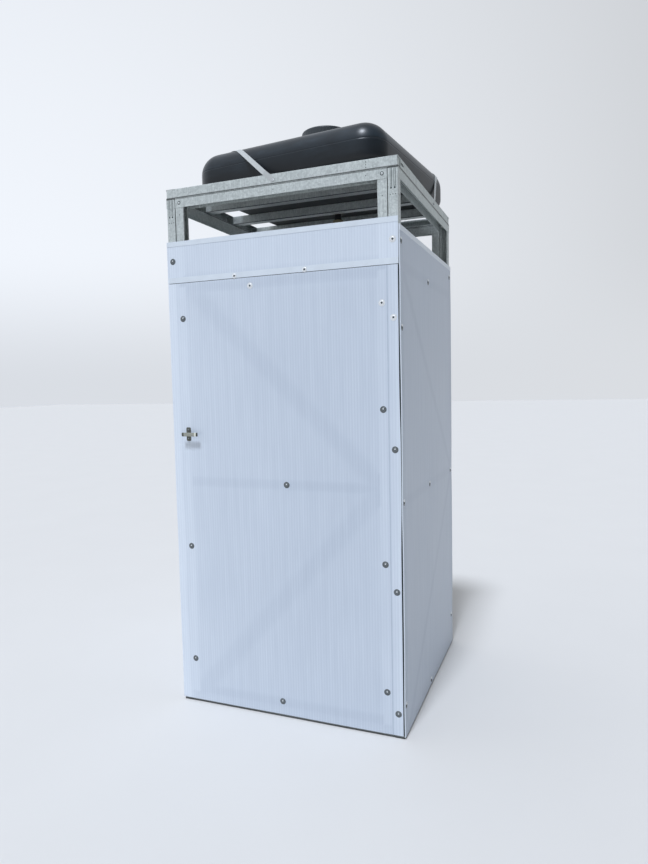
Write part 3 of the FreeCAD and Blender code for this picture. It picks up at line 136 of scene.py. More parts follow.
class CabinSheetSettings(bpy.types.PropertyGroup):
    """Sizes and colours of the hollow-wall sheets."""

    spacing: length("Grid", "Distance between a sheet's points", 10)
    bow: length("Bow", "How far a sheet stands off between its screws", 1.5)
    hold: length("Hold", "Distance from a screw over which the sheet is drawn flat", 130)
    edge_hold: length("Edge hold", "Width of the flat strip along a trim or the fold", 45)
    near: length("Near", "Distance from a sheet within which a screw holds it", 3)
    soft_edge: length("Soft edge", "Blur of the steel that shows through a sheet", 18)
    # Painted light and shade: the steel behind a sheet shows as lighter or darker bands.
    front_painted_light: numbers("Front show", "Light of upright, level and inclined steel, front", (0.8, -0.7, -0.6))
    wall_painted_light: numbers("Wall show", "Light of upright, level and inclined steel, walls", (-1.0, -0.5, -0.8))
    brace_blur: length("Brace blur", "Blur of the diagonals through the front sheets", 45)
    brace_spread: length("Brace spread", "How much further the diagonals show through the front sheets", 16)
    # Painted light through the door's free edge, the hinge strip's edge and the header from behind, fading across
    # the door; painted shade over the walls.
    glow: length("Edge glow", "Width of the door sheet's free edge, lit from behind", 38)
    glow_light: number("Edge light", "Light through the door's free edge", 2.7)
    strip_glow: length("Strip glow", "Width of the hinge strip's free edge, lit from behind", 8)
    strip_light: number("Strip light", "Light through the strip's free edge", 1.7)
    door_shade: number("Door shade", "Light through the door far from that edge", -0.3)
    door_light: number("Door light", "Light added to it towards that edge", 1.7)
    door_reach: length("Door light reach", "Distance over which that light fades", 240)
    header_glow: number("Header glow", "Light through the header from behind", 1.25)
    wall_glow: number("Wall glow", "Light through the walls from behind", -1.4)
    strip_bow: length("Strip bow", "How far the hinge strip's edge bows out to the corner", 3)
    strip_bow_level: length("Strip bow level", "Middle of that bow above the floor", 1050)
    strip_bow_reach: length("Strip bow reach", "Half height of that bow", 230)
    flute: length("Flute", "Spacing of the flutes as drawn", 11.5)
    fold_width: length("Fold width", "Thin skin of the door's fold", 5)
    fold_skin: length("Fold skin", "Thickness of the fold's skin", 0.7)
    fold_proud: length("Fold rise", "Rise of the pressed fold line over the sheet", 0.25)
    # Painted shade in the gaps: the tape's thickness and the foam tint below are for dark strips there.
    tape: length("Tape", "Thickness of the foam tape in the sheets' gaps", 1.6)
    shade: colour("Shade", "Sheet at its darkest", "#b3becd")
    light: colour("Light", "Sheet at its lightest", "#dde6f1")
    edge: colour("Cut edge", "Cut edge of a sheet", "#d9e2eb")
    trim: colour("Trim", "Edge trims", "#dde6ef")
    # The fold's tint is painted shade in its crease.
    fold: colour("Fold", "Pressed line of the fold", "#bcc7d6")
    # The foam tint is painted shade in the gaps.
    foam: colour("Foam", "Foam tape in the gaps", "#232930")


class CabinSteelSettings(bpy.types.PropertyGroup):
    """Sizes and colours of the channels, straps and pressed marks."""

    spangle: length("Spangle", "Width of a zinc crystal", 6)
    streak: length("Streak", "Width of a run mark in the zinc", 3.6)
    # Painted shade: the lowest steel darkens up to the splash height, and a line as wide as the bend where the
    # roof lies on the walls, both in the soil tint.
    splash: length("Splash", "Height of the soil splashed up from the ground", 26)
    bend: length("Bend", "Rounded bend of a channel, dark where the roof lies on the walls", 5.5)
    rib_width: length("Rib width", "Pressed rib at a post's top", 4)
    rib_height: length("Rib height", "Rise of a pressed rib", 1.2)
    # The dark groove round a rib, and the dots and slots, are painted shade.
    rib_shade_width: length("Rib groove", "Width of the dark groove round a rib", 7.5)
    rib_drop: length("Rib length", "Pressed rib down from the post's top", 70)
    rib_gap: length("Rib gap", "Between the two ribs of a post", 14)
    dot_radius: length("Dot radius", "Small pressed dot", 2)
    dot_height: length("Dot height", "Rise of a pressed dot", 0.3)
    dot_gap: length("Dot gap", "Between the dots of a row", 10)
    slot_place: length("Slot place", "Punched slot of a roof side rail, from the middle", -437)
    slot_length: length("Slot length", "Punched slot, along the rail", 44)
    slot_height: length("Slot height", "Punched slot, up the rail", 10)
    tab: length("Tab", "Steel of the tabs bent over the roof rails' ends", 1)
    tab_inset: length("Tab inset", "Bent tab inside the rail's edges", 1.2)
    zinc_dark: colour("Dark zinc", "Dull crystals", "#959d9d")
    zinc_light: colour("Light zinc", "Bright crystals", "#e4eae8")
    # The soil tint is painted shade, near the floor and under the roof.
    soil: colour("Soil", "Soil on the lowest steel", "#0b0b0a")
    strap: colour("Strap", "Band over the tank", "#c9cdcd")
    # A pressed mark's tint is painted shade.
    mark: colour("Pressed mark", "Floor of a pressed mark", "#3f4747")


class CabinTankSettings(bpy.types.PropertyGroup):
    """Sizes and colours of the tank and its lid."""

    width: length("Width", "Tank, left to right", 870)
    depth: length("Depth", "Tank, front to back", 850)
    height: length("Height", "Tank floor to the flat of its top", 180)
    corner: length("Corner", "Plan radius of the corners", 100)
    shoulder: length("Shoulder", "Radius of the upper edge", 92)
    foot: length("Foot", "Radius of the lower edge", 40)
    wall: length("Wall", "Wall of the tank", 5)
    dome: length("Dome", "Foot radius of the domed top", 323)
    crown: length("Crown", "Upper radius of the domed top", 122)
    rise: length("Rise", "Rise of the domed top", 45)
    neck: length("Neck", "Outside of the filler neck", 102)
    turn: degrees("Turn", "Turn of the tank on the roof", -6)
    # Painted light: the wall lightens between these levels above the tank's floor, and painted shade keeps it dark
    # below.
    sunlit_start: length("Bleach start", "Unbleached wall, up from the tank's floor", 15)
    sunlit_end: length("Bleach end", "Fully bleached wall, up from the tank's floor", 120)
    seam_level: length("Seam level", "Mould line above the tank's floor", 97)
    seam_depth: length("Seam depth", "Depth of the mould line", 1.2)
    ribs: whole("Ribs", "Grip ribs round the lid", 44, 3)
    rib_depth: length("Rib depth", "Depth of the lid's grip ribs", 0.8)
    lid_wall: length("Lid wall", "Skirt and top of the lid", 6)
    lid_round: length("Lid edge", "Rounding of the lid's upper edge", 7)
    lid_crown: length("Lid crown", "Rise of the lid's top to its middle", 3)
    plastic: colour("Plastic", "Tank wall", "#0b0f13")
    # The worn tint shows scuffs, and painted light on the upper wall.
    worn_and_lit: colour("Worn plastic", "Rubbed and bleached tank wall", "#2d3841")
    dust: colour("Dust", "Dust settled on the tank", "#6d6a63")
    lid: colour("Lid", "Lid", "#31373b")


class CabinFixingSettings(bpy.types.PropertyGroup):
    """Sizes and colours of the screws and rivets."""

    screw_sectors: whole("Screw sides", "Sides of a screw", 24, 8)
    rivet_sectors: whole("Rivet sides", "Sides of a rivet", 12, 8)
    washer: number("Washer", "Washer of a sheet screw, in head radii", 1.5, min=1)
    # The ring round a rivet is a flat dark piece of painted shade.
    ring: number("Rivet ring", "Bruised ring round a rivet, in head radii", 1.6, min=1)
    # Front screws above and right of these are drawn bright: a painted reflection of the sky.
    reflecting_level: length("New level", "Newer front screws are above it", 1400)
    reflecting_right: length("New right", "And right of this, from the middle", -350)
    # A painted highlight on a spot above a dull head's middle, this far up in head radii.
    spot: number("Spot", "Spot that rain has washed above a dull head's middle, in head radii", 0.32)
    bright: colour("Bright zinc", "Clean zinc of a head", "#f0f3f5")
    dull: colour("Dull zinc", "Dirt on a head", "#2f3b40")
    rivet: colour("Rivet", "Rivet head", "#eef2f2")


class CabinLatchSettings(bpy.types.PropertyGroup):
    """Sizes and colours of the turn latch."""

    bevel: length("Bevel", "Rounding of the latch's edges", 2.5)
    corner: length("Corner", "Corner radius of the latch plate", 5)
    # The bar is darker at both ends, and the bright band inside its right end is a painted highlight.
    dark_left: length("Dark left", "Tarnish at the bar's left end", 8)
    dark_right: length("Dark right", "Tarnish at the bar's right end", 5)
    rubbed_and_lit: length("Rubbed", "Bar from its right end to the end of what fingers rub", 14)
    dull: colour("Dull metal", "Tarnished cast metal", "#2b2f2a")
    worn_and_lit: colour("Worn metal", "Rubbed cast metal", "#e8eadd")


class CabinPlumbingSettings(bpy.types.PropertyGroup):
    """Colours of the outlet, valve and shower rose."""

    brass: colour("Valve body", "Nickel-washed brass", "#b9ad8e")
    chrome: colour("Chrome", "Shower rose and valve ball", "#d5d8da")
    lever: colour("Lever", "Coated valve lever", "#a3201a")
    fitting: colour("Fitting", "Outlet fitting and nut", "#1d1f21")
    rubber: colour("Rubber", "Seals", "#141414")


class CabinStageSettings(bpy.types.PropertyGroup):
    """Camera, floor and lights."""

    camera_place: numbers("Camera", "Camera's place", (1.111, -2.832, 1.389), unit="LENGTH")
    camera_right: numbers("Right", "The picture's right", (0.9304, 0.3660, -0.0215), subtype="XYZ")
    camera_up: numbers("Up", "The picture's up", (-0.0082, 0.0793, 0.9968), subtype="XYZ")
    focal: number("Focal length", "In pixels of the picture", 641.1, subtype="PIXEL")
    floor_size: length("Floor", "Half the floor's width", 40000)
    sky_left: number("Left light", "Brightness of the surround at the left", 0.9)
    sky_right: number("Right light", "Brightness of the surround at the right", 0.16)
    sky_back: number("Back light", "Brightness added towards the back", 0.36)
    sky_turn: number("Surround turn", "How far right, from -1 to 1, the right surround is reached", 0.6)
    horizon: number("Horizon", "Brightness of the surround where the floor ends", 0.8)
    horizon_blur: number("Horizon blur", "Sine of the angle over which it fades", 0.2)
    key: number("Key light", "Strength of the far soft light high in front", 2.65)
    key_height: degrees("Key height", "Key light above the floor's level", 65)
    key_turn: degrees("Key turn", "Key light to the right of straight in front", -1)
    key_size: degrees("Key size", "Width of the key light as an angle", 9)
    floor: colour("Floor colour", "Pale studio floor", "#d9d8d6")
    sky: colour("Left surround", "Soft light from the left", "#f0f5fd")
    bounce: colour("Right surround", "Soft light from the right", "#f1f4f8")
    key_colour: colour("Key colour", "Cool daylight", "#e9f0fc")


class CabinSettings(bpy.types.PropertyGroup):
    """All the cabin's sizes and colours."""

    sheets: group(CabinSheetSettings, "Sheets", "Hollow-wall sheets")
    steel: group(CabinSteelSettings, "Steel", "Channels and straps")
    tank: group(CabinTankSettings, "Tank", "Tank and lid")
    fixings: group(CabinFixingSettings, "Fixings", "Screws and rivets")
    latch: group(CabinLatchSettings, "Latch", "Turn latch")
    plumbing: group(CabinPlumbingSettings, "Plumbing", "Outlet, valve and rose")
    stage: group(CabinStageSettings, "Stage", "Camera, floor and lights")


# Materials

# Plain finishes, each one noise over a tint: the tint's shares between which the noise goes, its grain
# and detail, the roughness at both ends, and the shader's other sockets.
PLAIN = {
    # Cold-rolled galvanised band: smooth and pale grey, faintly clouded.
    "rolled_galvanised_band": ((0.72, 1), 3 * MM, 2, (0.5, 0.62), {"Metallic": 0.35}),
    # Painted shade of pressed marks, the dark dots, slots, grooves round the ribs and rings under the front's
    # rivets: nearly black and dull.
    "painted_shade_in_pressed_marks": ((1, 1.8), 1.5 * MM, 2, None, {"Metallic": 0.3, "Roughness": 0.6}),
    # Sawn edge of a sheet: paler and duller than its skin, with faint saw chatter.
    "sawn_polypropylene_edge": ((0.78, 1), 4 * MM, 2, None, {"Roughness": 0.6, "IOR": 1.49}),
    # Pressed fold of a sheet, its tint a little darker for painted shade in the crease, and extruded trims: smooth
    # and satin, faintly clouded by drag.
    "painted_shade_fold": ((0.86, 1), 45 * MM, 2, (0.28, 0.4), {"IOR": 1.53}),
    "extruded_white_pvc": ((0.86, 1), 45 * MM, 2, (0.28, 0.4), {"IOR": 1.53}),
    # Painted shade in the gaps over the door and at the right front corner: nearly black and quite matt.
    "painted_gap_shade": ((0.7, 1), 3 * MM, 3, (0.85, 0.95), {}),
    # Injection-moulded lid: black, a little greyer and smoother than the tank.
    "injection_moulded_polypropylene": ((1, 1.6), 50 * MM, 3, (0.36, 0.5), {"IOR": 1.49}),
    # Zinc plate on a pressed nut: half bright, with water marks.
    "zinc_plated_nut": ((0.7, 1), 4 * MM, 3, (0.25, 0.45), {"Metallic": 0.8}),
    # Nickel-washed cast brass: yellowing, clouded by water marks.
    "nickel_washed_brass": ((0.7, 1), 12 * MM, 3, (0.28, 0.45), {"Metallic": 0.9}),
    # Chrome plate: hard and bright, with water spots.
    "chrome_plate": ((0.7, 1), 9 * MM, 3, (0.08, 0.2), {"Metallic": 1.0}),
    # Steel dipped in vinyl: strong colour, satin.
    "vinyl_dipped_steel": ((0.7, 1), 20 * MM, 3, (0.35, 0.5), {}),
    # Moulded polypropylene fittings: black, satin.
    "black_polypropylene": ((0.7, 1), 8 * MM, 3, (0.4, 0.55), {}),
    # Moulded rubber: black and matt.
    "moulded_rubber": ((0.7, 1), 5 * MM, 3, (0.7, 0.85), {}),
    # Rolled studio paint: pale, even and matt, with a faint roller mottle.
    "matt_studio_floor": ((0.97, 1), 0.5, 2, None, {"Roughness": 0.85, "Specular IOR Level": 0.2}),
}
# Rubbed metals, dull to clean by a field of the piece, which carries wear and painted light and shade, and a
# noise: its grain, detail and weight, the roughness of dull and of clean metal, and how metallic it is.
RUBBED_AND_LIT = {
    # Zinc plate or aluminium of a pressed head: a bright crown, partly a painted highlight, with painted shade in
    # the recess and painted shade and dirt round the rim.
    "zinc_plated_screw": (2.5 * MM, 2, 0.3, (0.22, 0.3), 0.35),
    "blind_rivet_aluminium": (2.5 * MM, 2, 0.3, (0.22, 0.3), 0.35),
    # Die-cast zinc, tumbled: olive grey, nearly black at its ends, with a painted highlight just inside its right
    # end.
    "die_cast_zinc": (6 * MM, 3, 0.16, (0.55, 0.3), 0.5),
}


def fill(tree, node, inputs):
    """Sets a node's inputs to values, or links them to sockets or to other nodes' first output in use."""
    for name, value in inputs.items():
        if isinstance(value, bpy.types.Node):
            value = next(output for output in value.outputs if output.enabled)
        if isinstance(value, bpy.types.NodeSocket):
            tree.links.new(value, node.inputs[name])
        else:
            node.inputs[name].default_value = value
    return node


def add(tree, kind, inputs=None, **settings):
    """Adds a shader node with its settings and its inputs, and gives it back."""
    node = tree.nodes.new("ShaderNode" + kind)
    for name, value in settings.items():
        setattr(node, name, value)
    return fill(tree, node, inputs or {})


def weighted(tree, total, *terms):
    """A start plus values times their weights, kept between 0 and 1 at the end."""
    for value, weight in terms:
        total = add(tree, "Math", {0: value, 1: weight, 2: total}, operation="MULTIPLY_ADD")
    total.use_clamp = True
    return total


def new_finish(name):
    """A new material, its node tree and its shader."""
    material = bpy.data.materials.new(name)
    material.use_nodes = True
    return material, material.node_tree, material.node_tree.nodes["Principled BSDF"]


def plain(name, tint):
    """One of the plain finishes over a tint."""
    shares, grain, detail, gloss, sockets = PLAIN[name]
    material, tree, shader = new_finish(name)
    place = add(tree, "TexCoord").outputs["Object"]
    noise = add(tree, "TexNoise", {"Vector": place, "Scale": 1 / grain, "Detail": detail})
    dark, light = ((*(share * part for part in tint[:3]), 1.0) for share in shares)
    skin = add(tree, "Mix", {0: noise, 6: dark, 7: light}, data_type="RGBA")
    fill(tree, shader, {"Base Color": skin, **sockets})
    if gloss:
        rough = add(tree, "MapRange", {"Value": noise, "To Min": gloss[0], "To Max": gloss[1]})
        fill(tree, shader, {"Roughness": rough})
    return material


def rubbed_and_lit(name, dull, bright):
    """One of the metal finishes between two tints, set by a field of wear and painted light and shade."""
    grain, detail, uneven, gloss, metallic = RUBBED_AND_LIT[name]
    material, tree, shader = new_finish(name)
    place = add(tree, "TexCoord").outputs["Object"]
    noise = add(tree, "TexNoise", {"Vector": place, "Scale": 1 / grain, "Detail": detail})
    wear_and_painted_light = add(tree, "Attribute", attribute_name="wear_and_painted_light").outputs["Fac"]
    tone = weighted(tree, -uneven / 2, (noise, uneven), (wear_and_painted_light, 1.0))
    skin = add(tree, "Mix", {0: tone, 6: dull, 7: bright}, data_type="RGBA")
    rough = add(tree, "MapRange", {"Value": tone, "To Min": gloss[0], "To Max": gloss[1]})
    fill(tree, shader, {"Base Color": skin, "Metallic": metallic, "Roughness": rough})
    return material


def galvanised_steel(steel):
    # Hot-dip galvanised strip, weathered: frost-like zinc crystals, each a little brighter or duller than its
    # neighbours, crossed by fine run marks, so the grey looks mottled and half shiny. Painted shade darkens the
    # lowest steel towards the floor, and a painted shade line marks the groove between the rounded bends of two
    # channels that lie on one another, on upright faces only.
    material, tree, shader = new_finish("hot_dip_galvanised_steel")
    place = add(tree, "TexCoord").outputs["Object"]
    crystals = add(tree, "TexVoronoi", {"Vector": place, "Scale": 1 / steel.spangle, "Randomness": 1.0})
    crystal = add(tree, "SeparateColor", {"Color": crystals.outputs["Color"]})
    fine = 1 / steel.streak
    drawn = add(tree, "Mapping", {"Vector": place, "Scale": (fine, fine, 0.06 * fine)})
    runs = add(tree, "TexNoise", {"Vector": drawn, "Scale": 1.0, "Detail": 3.0, "Roughness": 0.6})
    haze = add(tree, "TexNoise", {"Vector": place, "Scale": 1 / (9 * steel.spangle), "Detail": 2.0})
    tone = weighted(tree, -0.1, (crystal, 0.3), (runs, 0.7), (haze, 0.2))
    zinc = add(tree, "Mix", {0: tone, 6: steel.zinc_dark, 7: steel.zinc_light}, data_type="RGBA")
    # Painted shade near the floor: darkest at the floor, gone at the splash height.
    level = add(tree, "SeparateXYZ", {"Vector": place}).outputs["Z"]
    splashed = add(tree, "MapRange", {
        "Value": level, "From Max": steel.splash, "To Min": 0.95, "To Max": 0.0,
    })
    # Painted shade in the groove where the roof lies on the walls, on upright faces only.
    off_roof = add(tree, "Math", {0: level, 1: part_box("roof_front_rail")[0].z}, operation="SUBTRACT")
    off_roof = add(tree, "Math", {0: off_roof}, operation="ABSOLUTE")
    groove = add(tree, "MapRange", {
        "Value": off_roof, "From Min": 0.4 * steel.bend, "From Max": steel.bend, "To Min": 1.0, "To Max": 0.0,
    })
    facing = add(tree, "SeparateXYZ", {"Vector": add(tree, "NewGeometry").outputs["Normal"]})
    upright = add(tree, "Math", {0: facing.outputs["Z"], 1: 0.0, 2: 0.5}, operation="COMPARE")
    groove = add(tree, "Math", {0: groove, 1: upright}, operation="MULTIPLY")
    floor_and_groove_shade = add(tree, "Math", {0: splashed, 1: groove}, operation="MAXIMUM")
    skin = add(tree, "Mix", {0: floor_and_groove_shade, 6: zinc, 7: steel.soil}, data_type="RGBA")
    shine = add(tree, "MapRange", {"Value": floor_and_groove_shade, "To Min": 0.5, "To Max": 0.0})
    rough = add(tree, "MapRange", {"Value": crystal, "To Min": 0.46, "To Max": 0.62})
    relief = add(tree, "Bump", {"Height": runs, "Strength": 0.12, "Distance": 0.2 * MM})
    fill(tree, shader, {"Base Color": skin, "Metallic": shine, "Roughness": rough, "Normal": relief})
    return material


def hollow_sheet(sheets):
    # Extruded hollow-wall polypropylene, milky white: upright flutes show as fine uneven lines. Painted light and
    # shade stand in for light through the sheet: the steel behind shows as soft lighter or darker bands, the
    # header and the door's free edge are lit from behind, and the walls are shaded. Real flutes are 4 to 5 mm
    # apart, too fine to show, so they are drawn coarser.
    material, tree, shader = new_finish("fluted_polypropylene_sheet")
    plan = add(tree, "UVMap", uv_map="plan")
    across = add(tree, "SeparateXYZ", {"Vector": plan}).outputs["X"]
    turns = add(tree, "Math", {0: across, 1: 2 * math.pi / sheets.flute}, operation="MULTIPLY")
    wave = add(tree, "Math", {0: turns}, operation="SINE")
    stretch = (0.6 / sheets.flute, 0.03 / sheets.flute, 1.0)
    drawn = add(tree, "Mapping", {"Vector": plan, "Scale": stretch})
    uneven = add(tree, "TexNoise", {
        "Vector": drawn, "Scale": 1.0, "Detail": 3.0, "Roughness": 0.65,
    }, noise_dimensions="2D")
    clouds = add(tree, "TexNoise", {"Vector": plan, "Scale": 1 / 0.4, "Detail": 1.0}, noise_dimensions="2D")
    lines = add(tree, "Math", {0: wave, 1: uneven}, operation="MULTIPLY")
    # Painted light and shade through the sheet, from a per-point field.
    painted_backlight = add(tree, "Attribute", attribute_name="painted_backlight").outputs["Fac"]
    tone = weighted(tree, 0.22, (lines, 0.15), (uneven, 0.3), (clouds, 0.14), (painted_backlight, 0.19))
    skin = add(tree, "Mix", {0: tone, 6: sheets.shade, 7: sheets.light}, data_type="RGBA")
    relief = add(tree, "Bump", {"Height": lines, "Strength": 0.25, "Distance": 0.25 * MM})
    rough = add(tree, "MapRange", {"Value": clouds, "To Min": 0.32, "To Max": 0.44})
    fill(tree, shader, {"Base Color": skin, "Roughness": rough, "Normal": relief, "IOR": 1.49})
    return material


def moulded_tank(tank):
    # Rotation-moulded polyethylene: blue-black satin with a fine pebbled skin, clouded and rubbed paler in long
    # scuffs, and a film of dust where it faces up. Painted light lightens the wall from its foot up, and painted
    # shade keeps it dark at the foot.
    material, tree, shader = new_finish("rotomoulded_polyethylene")
    place = add(tree, "TexCoord").outputs["Object"]
    pebbles = add(tree, "TexNoise", {"Vector": place, "Scale": 1 / (3 * MM), "Detail": 2.0})
    clouds = add(tree, "TexNoise", {"Vector": place, "Scale": 1 / 0.16, "Detail": 3.0})
    drawn = add(tree, "Mapping", {"Vector": place, "Scale": (8.0, 8.0, 30.0)})
    rubs = add(tree, "TexNoise", {"Vector": drawn, "Scale": 1.0, "Detail": 4.0})
    scuffs = add(tree, "MapRange", {"Value": rubs, "From Min": 0.5, "From Max": 0.75, "To Max": 0.45})
    tone = weighted(tree, scuffs, (clouds, 0.9))
    level = add(tree, "SeparateXYZ", {"Vector": place}).outputs["Z"]
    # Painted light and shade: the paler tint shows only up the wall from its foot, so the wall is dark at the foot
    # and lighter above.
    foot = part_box("tank_shell")[0].z
    sunlit = add(tree, "MapRange", {
        "Value": level, "From Min": foot + tank.sunlit_start, "From Max": foot + tank.sunlit_end,
    })
    tone = add(tree, "Math", {0: tone, 1: sunlit}, operation="MULTIPLY")
    wall = add(tree, "Mix", {0: tone, 6: tank.plastic, 7: tank.worn_and_lit}, data_type="RGBA")
    up = add(tree, "SeparateXYZ", {"Vector": add(tree, "NewGeometry").outputs["Normal"]}).outputs["Z"]
    settled = add(tree, "MapRange", {"Value": up, "From Min": 0.75, "From Max": 1.0, "To Max": 0.5})
    film = add(tree, "Math", {0: settled, 1: clouds}, operation="MULTIPLY")
    skin = add(tree, "Mix", {0: film, 6: wall, 7: tank.dust}, data_type="RGBA")
    rough = add(tree, "MapRange", {"Value": clouds, "To Min": 0.3, "To Max": 0.38})
    relief = add(tree, "Bump", {"Height": pebbles, "Strength": 0.2, "Distance": 0.3 * MM})
    fill(tree, shader, {
        "Base Color": skin, "Roughness": rough, "IOR": 1.51, "Specular IOR Level": 0.4, "Normal": relief,
    })
    return material


# Surfaces


def smoothstep(value):
    """0 below 0, 1 above 1, and an S-shaped rise between."""
    share = np.clip(value, 0, 1)
    return share * share * (3 - 2 * share)


def full_turn(steps):
    """Angles once round, in equal steps."""
    return np.arange(steps) * (2 * np.pi / steps)


def powered(wave, power):
    """A sine or cosine to a power, with its sign."""
    return np.sign(wave) * np.abs(wave) ** power


def grid_faces(rows, columns, closed=True):
    """Four-sided faces of a grid of points kept row by row; closed joins the last column to the first."""
    index = np.arange(rows * columns).reshape(rows, columns)
    if closed:
        index = np.hstack([index, index[:, :1]])
    corners = [index[:-1, :-1], index[:-1, 1:], index[1:, 1:], index[1:, :-1]]
    return np.stack(corners, axis=-1).reshape(-1, 4)


def repeated_faces(faces, count, points_each):
    """The same faces for each of several like shapes, whose points follow one another."""
    starts = np.arange(count)[:, None, None] * points_each
    return (faces[None] + starts).reshape(-1, 4)


def joined(*shapes):
    """Several (points, faces) as one."""
    points = [shape[0].reshape(-1, 3) for shape in shapes]
    starts = np.cumsum([0] + [len(part) for part in points])
    faces = [shape[1] + start for shape, start in zip(shapes, starts)]
    return np.concatenate(points), np.concatenate(faces)


def new_piece(name, shape, finishes, body=None, fields=None, plan=None, kinds=None, sharp=35):
    """A mesh piece from (points, faces), its coinciding points merged and its normals turned out.

    fields are numbers per point, plan a flat map per point, kinds a finish number per face.
    """
    points, faces = shape
    points = np.asarray(points, np.float32).reshape(-1, 3)
    mesh = bpy.data.meshes.new(name)
    mesh.vertices.add(len(points))
    mesh.vertices.foreach_set("co", points.ravel())
    mesh.loops.add(faces.size)
    mesh.loops.foreach_set("vertex_index", faces.astype(np.int32).ravel())
    mesh.polygons.add(len(faces))
    mesh.polygons.foreach_set("loop_start", np.arange(0, faces.size, 4, dtype=np.int32))
    if kinds is not None:
        mesh.polygons.foreach_set("material_index", kinds.astype(np.int32))
    for label, values in (fields or {}).items():
        field = mesh.attributes.new(label, "FLOAT", "POINT")
        field.data.foreach_set("value", values.astype(np.float32).ravel())
    if plan is not None:
        corners = plan.astype(np.float32)[faces.ravel()]
        mesh.uv_layers.new(name="plan").data.foreach_set("uv", corners.ravel())
    mesh.update(calc_edges=True)
    made = bmesh.new()
    made.from_mesh(mesh)
    bmesh.ops.remove_doubles(made, verts=made.verts, dist=0.005 * MM)
    bmesh.ops.recalc_face_normals(made, faces=made.faces)
    made.to_mesh(mesh)
    made.free()
    mesh.shade_smooth()
    mesh.set_sharp_from_angle(angle=math.radians(sharp))
    for finish in finishes:
        mesh.materials.append(finish)
    piece = bpy.data.objects.new(name, mesh)
    bpy.context.scene.collection.objects.link(piece)
    if body:
        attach(piece, body)
    return piece


def turned_shapes(seats, outs, spins, radii, levels, sectors):
    """Profiles turned about their own axes.

    Each shape has a seat, a unit direction out of it and a spin about that direction. radii is (shape,
    row) and levels is (shape, row) or (shape, row, sector): a point is the seat, plus its radius times
    a direction that goes round the axis by its sector's share of a full turn, plus its level along the
    axis.
    """
    steep = np.abs(outs[:, 2:]) > 0.9
    helper = np.where(steep, np.array([[1.0, 0, 0]]), np.array([[0, 0, 1.0]]))
    across = np.cross(helper, outs)
    across /= np.linalg.norm(across, axis=1, keepdims=True)
    along = np.cross(outs, across)
    angle = spins[:, None] + full_turn(sectors)
    round_it = np.cos(angle)[..., None] * across[:, None] + np.sin(angle)[..., None] * along[:, None]
    if levels.ndim == 2:
        levels = np.repeat(levels[..., None], sectors, axis=2)
    points = seats[:, None, None] + radii[:, :, None, None] * round_it[:, None]
    points = points + levels[..., None] * outs[:, None, None]
    count, rows = radii.shape
    faces = repeated_faces(grid_faces(rows, sectors), count, rows * sectors)
    return points.reshape(-1, 3), faces


def pills(centres, halves, squareness, order=(0, 1, 2)):
    """Long rounded lumps: a sphere stretched to three half sizes, its ends squared by a power.

    The height is the half height times the sine of the latitude to that power, and the girth is the
    half widths times the cosine of the latitude to that power, taken round the longitude. order says
    which of the two girths and the height lies along X, Y and Z.
    """
    latitude = np.linspace(-QUARTER_TURN, QUARTER_TURN, 13)
    longitude = full_turn(12)
    girth = np.abs(np.cos(latitude)) ** squareness
    girth[[0, -1]] = 0
    unit = np.stack([
        girth[:, None] * np.cos(longitude), girth[:, None] * np.sin(longitude),
        np.repeat(powered(np.sin(latitude), squareness)[:, None], len(longitude), axis=1),
    ], axis=-1)[..., list(order)]
    points = centres[:, None, None] + halves[:, None, None] * unit[None]
    faces = grid_faces(len(latitude), len(longitude))
    return points.reshape(-1, 3), repeated_faces(faces, len(centres), unit.shape[0] * unit.shape[1])


def rounded_outline(per_corner, per_side):
    """Once round a rounded rectangle: the place on its core, from -1 to 1 both ways, and the way out.

    A point of the outline is the core's half sizes times the core, plus a radius times the direction:
    along a side the core moves and the direction stays, and round a corner the core stays and the
    direction turns.
    """
    quarter = np.arange(4)[:, None]
    turn = (quarter + np.linspace(0, 1, per_corner)[None]) * QUARTER_TURN
    signs = np.array([[1, 1], [-1, 1], [-1, -1], [1, -1]], float)
    arc_core = np.repeat(signs[:, None], per_corner, axis=1)
    arc_way = np.stack([np.cos(turn), np.sin(turn)], axis=-1)
    share = np.linspace(0, 1, per_side + 2)[1:-1][None, :, None]
    side_core = signs[:, None] * (1 - share) + np.roll(signs, -1, axis=0)[:, None] * share
    side_way = np.repeat(arc_way[:, -1:], per_side, axis=1)
    core = np.concatenate([arc_core, side_core], axis=1).reshape(-1, 2)
    way = np.concatenate([arc_way, side_way], axis=1).reshape(-1, 2)
    return core, way


def solids(node):
    """The points of each solid of a CAD node: triangles that share a place belong to one solid."""
    mesh = frame["nodes"][node].data
    points = np.empty(len(mesh.vertices) * 3, np.float32)
    mesh.vertices.foreach_get("co", points)
    points = points.reshape(-1, 3).astype(float)
    corners = np.empty(len(mesh.loops), np.int32)
    mesh.loops.foreach_get("vertex_index", corners)
    spot = np.unique(np.round(points, 6), axis=0, return_inverse=True)[1].reshape(-1)
    triangles = spot[corners.reshape(-1, 3)]
    label = np.arange(spot.max() + 1)
    settled = False
    while not settled:
        lowest = label[triangles].min(axis=1)
        spread = label.copy()
        np.minimum.at(spread, triangles.ravel(), np.repeat(lowest, 3))
        spread = spread[spread]
        settled = np.array_equal(spread, label)
        label = spread
    return [points[label[spot] == name] for name in np.unique(label)]


